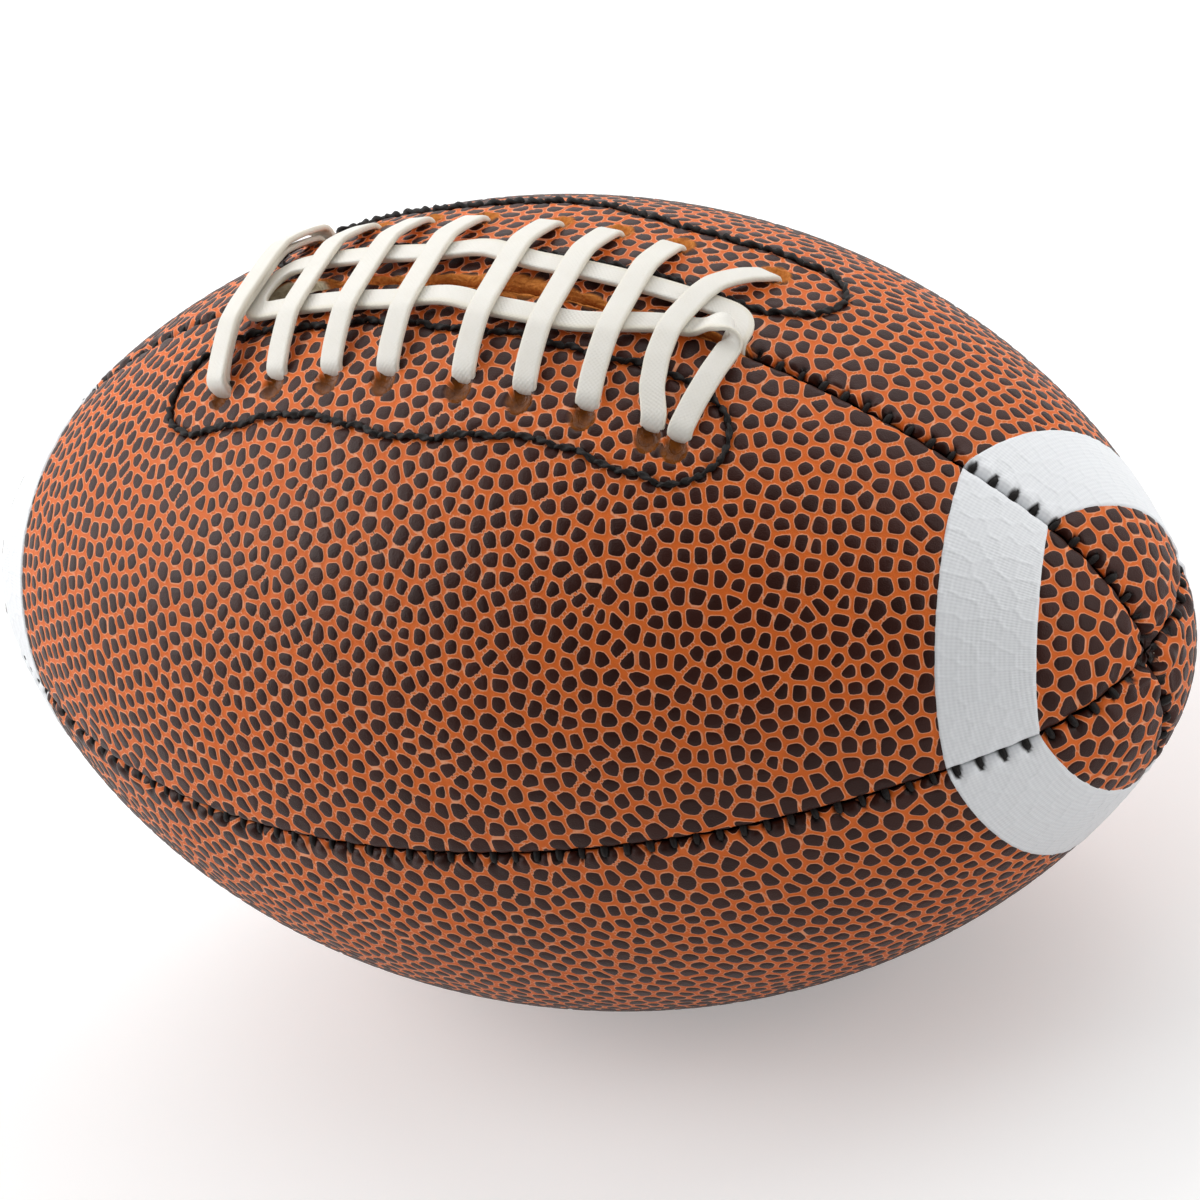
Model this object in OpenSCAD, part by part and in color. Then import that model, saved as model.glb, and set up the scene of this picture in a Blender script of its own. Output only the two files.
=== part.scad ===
// American football, mini size: four stitched cover panels with linings, two white stripes,
// a lace opening with its flat lace, and the bladder with its valve inside.
// The long axis is X and the laces are on top (+Z). The origin is on the floor under the middle of
// the ball, which stands on its two lower panels, on both sides of the bottom seam.

/* [Ball] */
// Length over the two tips
ball_length = 220; // [190:1:290]
// Greatest diameter, over the middles of two opposite panels
ball_diameter = 132; // [118:1:150]
// Radius of the blunt tips
tip_radius = 33; // [27:1:38]
// How far each panel swells out between its seams
panel_swell = 2.5; // [1:0.1:4]

/* [Cover] */
// Thickness of the pebbled cover
cover_thickness = 2; // [1.5:0.1:2.6]
// Thickness of the cloth lining under the cover
lining_thickness = 0.8; // [0.4:0.1:1.2]
// Air or glue line between two layers
layer_gap = 0.05; // [0.02:0.01:0.1]
// Gap between the two panels at a seam
seam_gap = 0.3; // [0.1:0.05:0.6]
// Radius of the turned edge of a panel at a seam
edge_radius = 1.6; // [1:0.1:1.9]
// Depth of the turned-in edge, from the surface
turned_edge_depth = 5; // [4:0.1:5.4]
// Thickness of the turned-in edge
turned_edge_thickness = 1.7; // [1.2:0.1:2.2]

/* [Seam stitches] */
// Distance from one stitch to the next
stitch_pitch = 4; // [3:0.25:7]
// Thickness of the seam thread
seam_thread = 0.7; // [0.5:0.05:0.9]
// Depth of the stitch's middle under the surface
stitch_depth = 0.75; // [0.5:0.05:1]
// Length of a stitch across the seam
stitch_length = 3.6; // [2.8:0.1:4.4]
// Clearance between the thread and its hole
stitch_clearance = 0.04; // [0.02:0.01:0.1]

/* [Stripes] */
// Distance from the ball's end to the stripe's edge that faces the middle, at a panel's middle line
stripe_distance = 19.5; // [16:0.5:30]
// Width of a stripe
stripe_width = 11.9; // [8:0.1:14]
// Thickness of the white film
stripe_thickness = 0.15; // [0.1:0.01:0.3]
// Bow radius of the stripe's edge that faces the middle of the ball
stripe_bow = 131; // [80:1:200]
// Bow radius of the stripe's edge that faces the tip
stripe_tip_bow = 66; // [38:1:90]
// Share of its radius by which a bow's middle lies towards the front or rear seam
stripe_lean_share = 0.055; // [0:0.005:0.12]

/* [Laces] */
// Width of the flat lace
lace_width = 4.2; // [3.6:0.1:4.8]
// Thickness of the flat lace
lace_thickness = 1.4; // [1:0.1:1.6]
// Distance from one lace hole to the next
lace_pitch = 11.5; // [10.5:0.1:13]
// Wider distance in the middle, between the fourth and the fifth hole
lace_middle_pitch = 14.8; // [13:0.1:18]
// Place of the laces' middle along the ball
lace_middle = 2.2; // [-3:0.1:4]
// Distance of the lace holes from the seam
lace_hole_offset = 19.6; // [17:0.1:22]
// Radius of a lace hole
lace_hole_radius = 2.6; // [2.5:0.05:3]
// How far the rear hole of a crossing lies to the left of its front hole
lace_slant = 5.5; // [0:0.5:6]
// Distance of the two long strands from the seam
strand_offset = 6; // [4.8:0.1:7]
// How far the front strand drifts towards the rear one, up to its right end
strand_drift = 6; // [0:0.5:6]
// Height of a long strand's middle over the cover
strand_height = 1.3; // [1.1:0.05:1.8]
// Air between a long strand and the lace that crosses it
crossing_gap = 0.2; // [0.1:0.05:0.3]
// Width of the opening under the laces
opening_width = 3.2; // [2:0.1:4.5]

/* [Lace patches] */
// Length of the sewn patch on each side of the laces
patch_length = 108; // [104:1:120]
// Distance from the seam to the patch's near row of stitches
patch_near = 10; // [9:0.5:12]
// Distance from the seam to the patch's far row of stitches
patch_far = 27.5; // [25:0.5:32]
// Thickness of the backing patch
patch_thickness = 0.9; // [0.5:0.1:1.2]
// Thickness of the patch thread
patch_thread = 0.9; // [0.6:0.05:1.1]
// Thickness of the guard between the laces and the bladder
guard_thickness = 1; // [0.6:0.1:1.5]
// Width of the guard, across the ball
guard_width = 52; // [48:1:60]
// Length of the guard
guard_length = 112; // [104:1:120]

/* [Bladder and valve] */
// Thickness of the bladder's wall
bladder_thickness = 0.9; // [0.6:0.1:1.5]
// Radius of the valve's visible face
valve_radius = 2.6; // [2.2:0.1:3.2]
// Length of the valve from its face to its inner end
valve_length = 16; // [14:0.5:22]
// Radius of the bore for the pump's needle
needle_radius = 1; // [0.8:0.05:1.2]
// Depth of the bore for the pump's needle
needle_depth = 13; // [10:0.5:14]
// Radius of the valve seat's flange
valve_flange_radius = 9; // [7:0.5:12]
// Thickness of the valve seat's wall and flange
valve_seat_wall = 1.3; // [1:0.1:1.8]
// Clearance round the valve in the cover
valve_clearance = 0.15; // [0.05:0.05:0.3]
// Angle round the ball from the panel's middle line to the valve, towards the rear seam
valve_turn = 3; // [1:0.5:8]

/* [Hidden] */

$fn = 48;
// Segments of a full circle of the ball's great curves
curve_steps = 180;
// How far a cut runs past the face that it opens
overrun = ball_diameter / 60;

// Profile of a panel: a long arc to each side of the middle, and a tip arc that meets it smoothly
swell_axis = panel_swell / sqrt(2);
panel_radius = ball_diameter / 2 - panel_swell;
tip_arc = tip_radius - panel_swell;
tip_centre = ball_length / 2 - tip_arc;
body_arc = (pow(tip_centre, 2) + pow(panel_radius, 2) - pow(tip_arc, 2)) / (2 * (panel_radius - tip_arc));
body_centre = body_arc - panel_radius;
// Angle of the join of the two arcs, from the middle line of the ball
join_angle = atan2(tip_centre, body_centre);

// Depths of the layers under the surface
lining_top = cover_thickness + layer_gap;
lining_bottom = lining_top + lining_thickness;
patch_top = lining_bottom + layer_gap;
patch_bottom = patch_top + patch_thickness;
lace_run_depth = patch_bottom + 2 * layer_gap + lace_thickness / 2;
double_run_depth = lace_run_depth + lace_thickness + 2 * crossing_gap;
guard_top = max(double_run_depth + lace_thickness / 2, turned_edge_depth) + 4 * layer_gap;
guard_bottom = guard_top + guard_thickness;
bladder_top = lining_bottom + layer_gap;

// Height of the ball's middle over the floor: the two lower panels stand on it at their lowest lines
middle_height = swell_axis + panel_radius;

// How much lower the surface lies at a seam than over a panel's middle
seam_valley = panel_swell * (1 - 1 / sqrt(2));

// Half widths at a seam
half_gap = seam_gap / 2;
edge_reach = half_gap + turned_edge_thickness;
edge_clear = edge_reach + layer_gap;

// Places of the laces
lace_x = [for (k = [0:7])
    lace_middle + (k - 3.5) * lace_pitch + sign(k - 3.5) * (lace_middle_pitch - lace_pitch) / 2];
strand_top = strand_height + lace_thickness / 2;
crossing_height = strand_top + crossing_gap + lace_thickness / 2;
rest_height = lace_thickness / 2 + crossing_gap;
opening_end = lace_x[7] + lace_pitch * 0.6;
opening_start = lace_x[0] - lace_pitch * 0.6;
// The first crossing's second lay lies over the first one, a little to the left and outside it
double_shift = lace_width * 0.12;
double_lift = lace_thickness + 2.5 * crossing_gap;
// How far to the right of the last crossing the lace's second strand goes down
tail_shift = lace_width * 1.1;
// Share of the slant by which the last crossing's middle is pulled to the left
last_pull_share = 0.85;

// Place along the ball of a crossing, at a place across it. Each one runs straight from hole to hole,
// but the last one goes straight across and is pulled aside in its middle.
function leaned(k, y) =
    let (share = (1 + y / lace_hole_offset) / 2)
    lace_x[k] - lace_slant * (k < 7 ? share : 4 * last_pull_share * share * (1 - share));

// Place along the ball of a crossing's hole
function hole_x(k, rear) = leaned(k, (rear ? 1 : -1) * lace_hole_offset);

// Half sizes of the hollow in the bladder that takes the patches and the guard
patch_margin = patch_thread * 3;
hollow_half_width = max(guard_width / 2, patch_far + patch_margin) + layer_gap;
hollow_half_length = max(guard_length, patch_length + 2 * patch_margin) / 2 + layer_gap;

// Places of a stripe's two edges
stripe_start = ball_length / 2 - stripe_distance;
stripe_end = stripe_start + stripe_width;

// Places of the valve, from the middle of the ball outwards
plug_top = ball_diameter / 2 - valve_clearance;
plug_bottom = plug_top - valve_length;

// A lens of a long arc with round tips, drawn to the right of the axis, set back by depth. The long
// arc's middle lies behind the axis, and each tip's middle lies on it.
module lens(long_arc, behind, tip, tip_middle, join, depth) {
    join_height = (long_arc - depth) * sin(join);
    intersection() {
        translate([-behind, 0]) circle(r = long_arc - depth, $fn = curve_steps);
        translate([0, -join_height]) square([ball_diameter, 2 * join_height]);
    }
    for (end = [-1, 1])
        intersection() {
            translate([0, end * tip_middle]) circle(r = tip - depth, $fn = curve_steps / 2);
            translate([0, -ball_length]) square([ball_diameter, 2 * ball_length]);
        }
}

// Lifts a piece from the middle of the ball to its place over the floor
module lifted() {
    translate([0, 0, middle_height]) children();
}

// The solid inside a panel's surface, set back by depth, for the panel at the front and top
module swell(depth) {
    translate([0, -swell_axis, swell_axis])
        rotate([0, 90, 0])
            rotate_extrude($fn = curve_steps / 2)
                lens(body_arc, body_centre, tip_arc, tip_centre, join_angle, depth);
}

// A layer between two depths
module layer(top, bottom) {
    difference() {
        swell(top);
        swell(bottom);
    }
}

// The quarter of space of the front upper panel, kept clear of both seam planes
module quarter(clear) {
    translate([-ball_length, -ball_diameter, clear])
        cube([2 * ball_length, ball_diameter - clear, ball_diameter]);
}

// Moves the front upper quarter's shape to another quarter
module at_side(side) {
    front = side == "front_upper" || side == "front_lower";
    upper = side == "front_upper" || side == "rear_upper";
    mirror([0, front ? 0 : 1, 0])
        mirror([0, 0, upper ? 0 : 1])
            children();
}

// Swaps the top seam and the front seam of the front upper quarter
module swap_seams() {
    mirror([0, 1, 1]) children();
}

// Section of the seam's groove: the corner that is left outside two round panel edges
module groove_section(arc) {
    difference() {
        translate([arc - edge_radius, -half_gap - edge_radius])
            square([edge_radius + overrun, 2 * (half_gap + edge_radius)]);
        for (side = [-1, 1])
            translate([arc - edge_radius, side * (half_gap + edge_radius)]) circle(r = edge_radius);
    }
}

// The groove along the top seam, following the surface over the body and round both tips. The body's
// part runs on a little into the part at each tip.
module groove() {
    run_on = 1;
    half_angle = join_angle + run_on;
    translate([0, 0, swell_axis - body_centre])
        rotate([90, 0, 0])
            rotate_extrude(start = 90 - half_angle, angle = 2 * half_angle, $fn = curve_steps)
                groove_section(body_arc);
    for (end = [0, 1])
        mirror([end, 0, 0])
            translate([tip_centre, 0, swell_axis])
                rotate([90, 0, 0])
                    rotate_extrude(start = -10, angle = 100 - join_angle, $fn = curve_steps)
                        groove_section(tip_arc);
}

// Point of the top seam at a distance along the surface from the middle, at a depth: [x, z]
function seam_point(along, depth) =
    let (
        turn = along / body_arc * 180 / PI,
        past = (along - body_arc * join_angle * PI / 180) / tip_arc * 180 / PI
    )
    turn < join_angle
    ? [(body_arc - depth) * sin(turn), swell_axis - body_centre + (body_arc - depth) * cos(turn)]
    : [tip_centre + (tip_arc - depth) * sin(join_angle + past),
       swell_axis + (tip_arc - depth) * cos(join_angle + past)];

seam_half = (body_arc * join_angle + tip_arc * (80 - join_angle)) * PI / 180;
stitch_count = floor(seam_half / stitch_pitch);

// Stitches across the top seam. with_opening leaves out those where the laces are.
module stitches(radius, length, with_opening) {
    for (end = [-1, 1], k = [0:stitch_count - 1]) {
        at = seam_point((k + 0.5) * stitch_pitch, stitch_depth);
        x = end * at[0];
        open_here = with_opening && x > opening_start - stitch_pitch && x < opening_end + stitch_pitch;
        if (!open_here)
            translate([x, length / 2, at[1]])
                rotate([90, 0, 0])
                    cylinder(r = radius, h = length, $fn = 16);
    }
}

// Holes for a panel's stitches along its two seams
module stitch_holes(with_opening) {
    hole = seam_thread / 2 + stitch_clearance;
    stitches(hole, stitch_length + 2 * stitch_clearance, with_opening);
    swap_seams() stitches(hole, stitch_length + 2 * stitch_clearance, false);
}

// The slit under the laces, with round ends
module opening(width, low) {
    high = ball_diameter;
    for (end = [opening_start + width / 2, opening_end - width / 2])
        translate([end, 0, low]) cylinder(r = width / 2, h = high);
    translate([opening_start + width / 2, -width / 2, low])
        cube([opening_end - opening_start - width, width, high]);
}

// A round hole along the surface normal at a place on the front upper quarter
module normal_drill(x, y, radius, depth) {
    base = skin(x, y, -depth);
    tip = skin(x, y, overrun);
    way = tip - base;
    translate(base)
        rotate([0, acos(way[2] / norm(way)), atan2(way[1], way[0])])
            cylinder(r = radius, h = norm(way));
}

// Lace holes of the front or the rear side, through the front upper quarter. The first holds two
// strands, one outside the other, and the last one at the front holds two side by side.
module lace_holes(depth, rear) {
    for (k = [1:7]) normal_drill(hole_x(k, rear), -lace_hole_offset, lace_hole_radius, depth);
    if (!rear)
        for (share = [0.5, 1])
            normal_drill(lace_x[7] + share * tail_shift, -lace_hole_offset, lace_hole_radius, depth);
    normal_drill(hole_x(0, rear) + double_shift, -lace_hole_offset, lace_hole_radius, depth);
    normal_drill(hole_x(0, rear), -lace_hole_offset - double_lift, lace_hole_radius, depth);
}

// The space that the top seam's turned-in edge takes. It stops short of the opening for the laces.
module top_edge_slab(with_opening) {
    difference() {
        translate([-ball_length, -edge_reach, 0]) cube([2 * ball_length, edge_reach, ball_diameter]);
        if (with_opening)
            translate([opening_start, -edge_reach - overrun, 0])
                cube([opening_end - opening_start, edge_reach + 2 * overrun, ball_diameter]);
    }
}

// Panel of the cover with its turned-in edges, at the front upper quarter
module panel_solid(with_laces, with_valve, rear) {
    difference() {
        union() {
            intersection() {
                layer(0, cover_thickness);
                quarter(half_gap);
            }
            intersection() {
                layer(cover_thickness - layer_gap, turned_edge_depth);
                quarter(half_gap);
                union() {
                    top_edge_slab(with_laces);
                    swap_seams() top_edge_slab(false);
                }
            }
        }
        groove();
        swap_seams() groove();
        stitch_holes(with_laces);
        if (with_laces) {
            opening(opening_width, 0);
            lace_holes(turned_edge_depth, rear);
        }
        if (with_valve) valve_hole(valve_radius + valve_clearance);
    }
}

module panel_front_upper() {
    color("#c4612f") lifted() at_side("front_upper") panel_solid(true, false, false);
}

module panel_front_lower() {
    color("#c4612f") lifted() at_side("front_lower") panel_solid(false, false, false);
}

module panel_rear_lower() {
    color("#c4612f") lifted() at_side("rear_lower") panel_solid(false, true, true);
}

module panel_rear_upper() {
    color("#c4612f") lifted() at_side("rear_upper") panel_solid(true, false, true);
}

// Lining under a panel, clear of the turned-in edges
module lining_solid(with_laces, with_valve, rear) {
    difference() {
        intersection() {
            layer(lining_top, lining_bottom);
            quarter(edge_clear);
        }
        if (with_laces) lace_holes(lining_bottom + overrun, rear);
        if (with_valve) valve_hole(valve_radius + valve_seat_wall + valve_clearance);
    }
}

module lining(side) {
    laces = side == "front_upper" || side == "rear_upper";
    color("#d9d2c3") lifted() at_side(side) lining_solid(laces, side == "rear_lower", side == "rear_upper");
}

// White film on a panel, between two bowed edges, at the end that faces +X
module stripe_solid() {
    difference() {
        intersection() {
            layer(-stripe_thickness, -layer_gap / 5);
            quarter(half_gap + edge_radius);
            rotate([45, 0, 0])
                translate([stripe_end - stripe_tip_bow, -stripe_lean_share * stripe_tip_bow, 0])
                    cylinder(r = stripe_tip_bow, h = ball_diameter, $fn = curve_steps);
            translate([stripe_start - ball_diameter / 4, -ball_diameter, 0])
                cube([ball_length / 2, ball_diameter, ball_diameter]);
        }
        rotate([45, 0, 0])
            translate([stripe_start - stripe_bow, -stripe_lean_share * stripe_bow, 0])
                cylinder(r = stripe_bow, h = ball_diameter, $fn = 2 * curve_steps);
    }
}

module stripe(side, end) {
    color("#f2f3f4") lifted() mirror([end == "left" ? 1 : 0, 0, 0]) at_side(side) stripe_solid();
}

module seam_thread_top() {
    color("#1d1a19") lifted() stitches(seam_thread / 2, stitch_length, true);
}

module seam_thread_front() {
    color("#1d1a19") lifted() rotate([90, 0, 0]) stitches(seam_thread / 2, stitch_length, false);
}

module seam_thread_bottom() {
    color("#1d1a19") lifted() rotate([180, 0, 0]) stitches(seam_thread / 2, stitch_length, false);
}

module seam_thread_rear() {
    color("#1d1a19") lifted() rotate([-90, 0, 0]) stitches(seam_thread / 2, stitch_length, false);
}

// Radius of a panel about its own axis at a place along the ball, on the body's arc
function body_radius(x) = sqrt(pow(body_arc, 2) - pow(x, 2)) - body_centre;

// Side of the ball that a place across it is on
function side_of(y) = y > 0 ? 1 : -1;

// Direction round the ball at a place, from straight up
function turn_at(x, y) = asin((y - side_of(y) * swell_axis) / body_radius(x));

// Point at a height over the cover's surface, for a place along and across the upper half
function skin(x, y, height) =
    let (
        slope = asin(x / body_arc),
        turn = turn_at(x, y),
        reach = body_radius(x) + height * cos(slope)
    )
    [x + height * sin(slope), side_of(y) * swell_axis + reach * sin(turn), swell_axis + reach * cos(turn)];

// The three ways at a place on the surface: along the ball, round it, and out of it
function skin_ways(x, y) =
    let (slope = asin(x / body_arc), turn = turn_at(x, y))
    [
        [cos(slope), -sin(slope) * sin(turn), -sin(slope) * cos(turn)],
        [0, cos(turn), -sin(turn)],
        [sin(slope), cos(slope) * sin(turn), cos(slope) * cos(turn)]
    ];

// The lace's section, an octagon: shares of its half width and of its half thickness
section_shares = [
    [1, 0.45], [0.86, 1], [-0.86, 1], [-1, 0.45],
    [-1, -0.45], [-0.86, -1], [0.86, -1], [1, -0.45]
];
lace_section = [for (c = section_shares) [c[0] * lace_width / 2, c[1] * lace_thickness / 2]];

function unit(v) = v / norm(v);

// One ring of the lace round a point, square to the way that it runs
function lace_ring(point, wide, way) =
    let (thick = unit(cross(unit(way), wide)), across = unit(cross(thick, unit(way))))
    [for (c = lace_section) point + c[0] * across + c[1] * thick];

// Faces of a swept strip with closed ends
function swept_faces(rings, sides) = concat(
    [[for (i = [sides - 1:-1:0]) i]],
    [for (r = [0:rings - 2], i = [0:sides - 1])
        let (next = (i + 1) % sides)
        [r * sides + i, r * sides + next, (r + 1) * sides + next, (r + 1) * sides + i]],
    [[for (i = [0:sides - 1]) (rings - 1) * sides + i]]);

// The lace's route. Each entry is a place along, a place across, a height over the cover, and the way
// of the lace's width there: along the ball, round it, and out of it.
along = [1, 0, 0];
bend = lace_thickness * 0.9;
soft_bend_share = 0.3;

// The way of the width of a lace that runs over the surface at an angle, counted from +X
function width_at(angle) = [sin(angle), -cos(angle), 0];

// A shaft through the cover at one side, for a lace laid across the ball, from below to the top
function shaft(x, side, offset, low, top) = [
    [x, side * (offset - bend), -low, along],
    [x, side * (offset - bend * soft_bend_share), -low + bend * soft_bend_share, along],
    [x, side * offset, -low + bend, along],
    [x, side * offset, top - bend, along],
    [x, side * (offset - bend * soft_bend_share), top - bend * soft_bend_share, along],
    [x, side * (offset - bend), top, along]
];

// Place across of the front strand, which drifts towards the rear one past the sixth crossing
function front_strand_y(x) =
    let (share = max(0, min(1, (x - lace_x[5]) / (lace_x[7] - lace_x[5]))))
    -strand_offset + strand_drift * share * share * (3 - 2 * share);

// Half of a crossing: flat over the strand that lies at a distance from the seam, and from there in a
// straight slope down to the hole
slope_shares = [0.35, 0.7];
function half_span(k, shift, side, strand, offset, lift) =
    let (outer = strand + lace_width * 0.76 + lift * 0.6)
    concat(
        [for (y = [side * strand, side * outer])
            [leaned(k, y) + shift, y, crossing_height + lift, along]],
        [for (share = slope_shares)
            let (
                y = side * (outer + (offset - bend - outer) * share),
                height = crossing_height + (rest_height - crossing_height) * share
            )
            [leaned(k, y) + shift, y, height + lift, along]]);

function reverse(list) = [for (i = [len(list) - 1:-1:0]) list[i]];

// A whole crossing from the rear hole over to the front hole, up from one depth and down to the other
function crossing(k, shift, offset, lift, low_from, low_to) = concat(
    shaft(hole_x(k, true) + shift, 1, offset, low_from, rest_height + lift),
    reverse(half_span(k, shift, 1, strand_offset, offset, lift)),
    half_span(k, shift, -1, -front_strand_y(leaned(k, 0)), offset, lift),
    reverse(shaft(hole_x(k, false) + shift, -1, offset, low_to, rest_height + lift)));

// The run inside the ball from a front hole to a rear hole, following the cover from below
inner_run_shares = [0.25, 0.5, 0.75];
function inner_run(from_x, to_x, from_offset, to_offset, depth) = [for (share = inner_run_shares)
    [from_x + (to_x - from_x) * share,
     (bend - from_offset) * (1 - share) + (to_offset - bend) * share, -depth, along]];

// The tail comes up through the opening's right end, and turns flat on to the rear strand
turn_radius = lace_width * 0.95;
tail_x = lace_x[7] + tail_shift;
tail_start = [
    [tail_x, 0, -lining_bottom, along],
    [tail_x, 0, -cover_thickness / 2, along],
    [tail_x, 0, strand_height * 0.2, along],
    [tail_x, lace_thickness * 0.4, strand_height * 0.85, along]
];
tail_turn = [for (a = [90:18:180])
    [tail_x - turn_radius + turn_radius * sin(a), strand_offset - turn_radius - turn_radius * cos(a),
     strand_height, width_at(a)]];

// The two long strands, and the flat turn under the first crossing that joins them
strand_steps = 14;
left_end = lace_x[0] + lace_width * 0.35;
left_reach = lace_width;
rear_strand = [for (i = [1:strand_steps])
    [tail_x - turn_radius + (left_end - tail_x + turn_radius) * i / strand_steps, strand_offset,
     strand_height, width_at(180)]];
left_turn = [for (a = [200:20:340])
    [left_end + left_reach * cos(a - 90), strand_offset * sin(a - 90), strand_height, width_at(a)]];
front_end = leaned(7, 0) + lace_width;
front_strand = [for (i = [0:strand_steps])
    let (x = left_end + (front_end - left_end) * i / strand_steps)
    [x, front_strand_y(x), strand_height, width_at(360)]];

// The fold past the last crossing: the strand climbs over the tail, rolls over a slanted line and
// comes back underneath
fold_x = lace_x[7] + lace_width * 0.95;
fold_y = front_strand_y(fold_x);
fold_radius = lace_thickness / 2 + crossing_gap * 2;
fold_slant = -45;
fold_low = crossing_height;
fold_travel = fold_radius * PI * cos(fold_slant) / -sin(fold_slant);
function fold_point(a) =
    let (
        line = [cos(fold_slant), sin(fold_slant), 0],
        out = [-sin(fold_slant), cos(fold_slant), 0],
        rise = fold_low + fold_radius * (1 + cos(a)),
        at = fold_travel * a / 180 * line + fold_radius * sin(a) * out,
        ahead = out * cos(a) - [0, 0, sin(a)]
    )
    [fold_x + at[0], fold_y + at[1], rise, line * -sin(fold_slant) - ahead * cos(fold_slant)];
fold = [for (a = [0:22.5:180]) fold_point(a)];
fold_rise_shares = [[0.25, 0.15], [0.7, 0.85]];
fold_rise = [for (step = fold_rise_shares)
    [front_end + (fold_x - front_end) * step[0], fold_y,
     strand_height + (fold_point(0)[2] - strand_height) * step[1], width_at(360)]];
fold_exit = fold_point(180);
fold_run = [for (share = slope_shares)
    [fold_exit[0] + (tail_x - fold_exit[0]) * share,
     fold_exit[1] + (-lace_hole_offset + bend - fold_exit[1]) * share,
     fold_low + (rest_height - fold_low) * share, along]];

// The whole lace: in at the opening, along both strands, and back over all eight crossings. The
// first crossing is laid twice, and its second lay ends in the hole.
double_offset = lace_hole_offset + double_lift;
second_lay = crossing(0, 0, double_offset, double_lift, double_run_depth, lace_run_depth);
route = concat(
    tail_start,
    tail_turn,
    rear_strand,
    left_turn,
    front_strand,
    fold_rise,
    fold,
    fold_run,
    reverse(shaft(tail_x, -1, lace_hole_offset, lace_run_depth, rest_height)),
    inner_run(tail_x, hole_x(7, true), lace_hole_offset, lace_hole_offset, lace_run_depth),
    [for (k = [7:-1:1])
        let (next_x = hole_x(k - 1, true) + (k > 1 ? 0 : double_shift))
        each concat(
            crossing(k, 0, lace_hole_offset, 0, lace_run_depth, lace_run_depth),
            inner_run(hole_x(k, false), next_x, lace_hole_offset, lace_hole_offset, lace_run_depth))],
    crossing(0, double_shift, lace_hole_offset, 0, lace_run_depth, double_run_depth),
    inner_run(lace_x[0] + double_shift, hole_x(0, true), lace_hole_offset, double_offset, double_run_depth),
    [for (i = [0:len(second_lay) - 3]) second_lay[i]]);

function lace_width_way(p) =
    let (flat = skin_ways(p[0], p[1]))
    p[3][0] * flat[0] + p[3][1] * flat[1] + p[3][2] * flat[2];

module lace() {
    points = [for (p = route) skin(p[0], p[1], p[2])];
    last = len(route) - 1;
    rings = [for (i = [0:last])
        let (way = points[min(i + 1, last)] - points[max(i - 1, 0)])
        each lace_ring(points[i], lace_width_way(route[i]), way)];
    color("#ece8df") lifted() polyhedron(points = rings, faces = swept_faces(last + 1, len(lace_section)));
}

// The patch's outline: two long rows joined by round ends, with a bulge in the far row
patch_half = (patch_far - patch_near) / 2;
patch_row = patch_length / 2 - patch_half;
patch_bulge = patch_far * 0.13;
row_steps = 30;
end_steps = 8;
function far_bulge(share) = patch_bulge * exp(-pow(share * 4, 2));
patch_outline = concat(
    [for (i = [0:row_steps - 1]) let (share = 2 * i / row_steps - 1)
        [lace_middle + share * patch_row, patch_far + far_bulge(share)]],
    [for (i = [0:end_steps - 1]) let (a = 90 - 180 * i / end_steps)
        [lace_middle + patch_row + patch_half * cos(a), patch_near + patch_half + patch_half * sin(a)]],
    [for (i = [0:row_steps - 1]) let (share = 1 - 2 * i / row_steps)
        [lace_middle + share * patch_row, patch_near]],
    [for (i = [0:end_steps - 1]) let (a = -90 - 180 * i / end_steps)
        [lace_middle - patch_row + patch_half * cos(a), patch_near + patch_half + patch_half * sin(a)]]);

// Thread sewn round a patch, lying on the cover
module patch_thread_loop() {
    count = len(patch_outline);
    sides = 6;
    height = patch_thread / 2 + layer_gap;
    points = [for (p = patch_outline) skin(p[0], -p[1], height)];
    rings = [for (i = [0:count - 1])
        let (
            way = unit(points[(i + 1) % count] - points[(i + count - 1) % count]),
            up = unit(skin(patch_outline[i][0], -patch_outline[i][1], height + overrun) - points[i]),
            across = unit(cross(way, up))
        )
        for (j = [0:sides - 1])
            points[i] + patch_thread / 2 * (cos(j * 360 / sides) * across + sin(j * 360 / sides) * up)];
    faces = [for (i = [0:count - 1], j = [0:sides - 1])
        [i * sides + j, i * sides + (j + 1) % sides,
         (i + 1) % count * sides + (j + 1) % sides, (i + 1) % count * sides + j]];
    polyhedron(points = rings, faces = faces);
}

module patch_thread_front() {
    color("#1d1a19") lifted() patch_thread_loop();
}

module patch_thread_rear() {
    color("#1d1a19") lifted() mirror([0, 1, 0]) patch_thread_loop();
}

// Backing patch under the lining, pierced by the lace holes
module patch_solid(rear) {
    difference() {
        intersection() {
            layer(patch_top, patch_bottom);
            quarter(edge_clear);
            translate([lace_middle - patch_length / 2 - patch_margin, -patch_far - patch_margin, 0])
                cube([patch_length + 2 * patch_margin, patch_far + patch_margin, ball_diameter]);
        }
        lace_holes(patch_bottom + overrun, rear);
    }
}

module patch_front() {
    color("#8d8f8c") lifted() patch_solid(false);
}

module patch_rear() {
    color("#8d8f8c") lifted() mirror([0, 1, 0]) patch_solid(true);
}

// A plain round form of the ball's own outline, set back by depth
module round_form(depth) {
    ball_radius = ball_diameter / 2;
    tip_middle = ball_length / 2 - tip_radius;
    reach_squared = pow(tip_middle, 2) + pow(ball_radius, 2) - pow(tip_radius, 2);
    long_arc = reach_squared / (2 * (ball_radius - tip_radius));
    join = atan2(tip_middle, long_arc - ball_radius);
    rotate([0, 90, 0])
        rotate_extrude($fn = curve_steps / 2)
            lens(long_arc, long_arc - ball_radius, tip_radius, tip_middle, join, depth);
}

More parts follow.
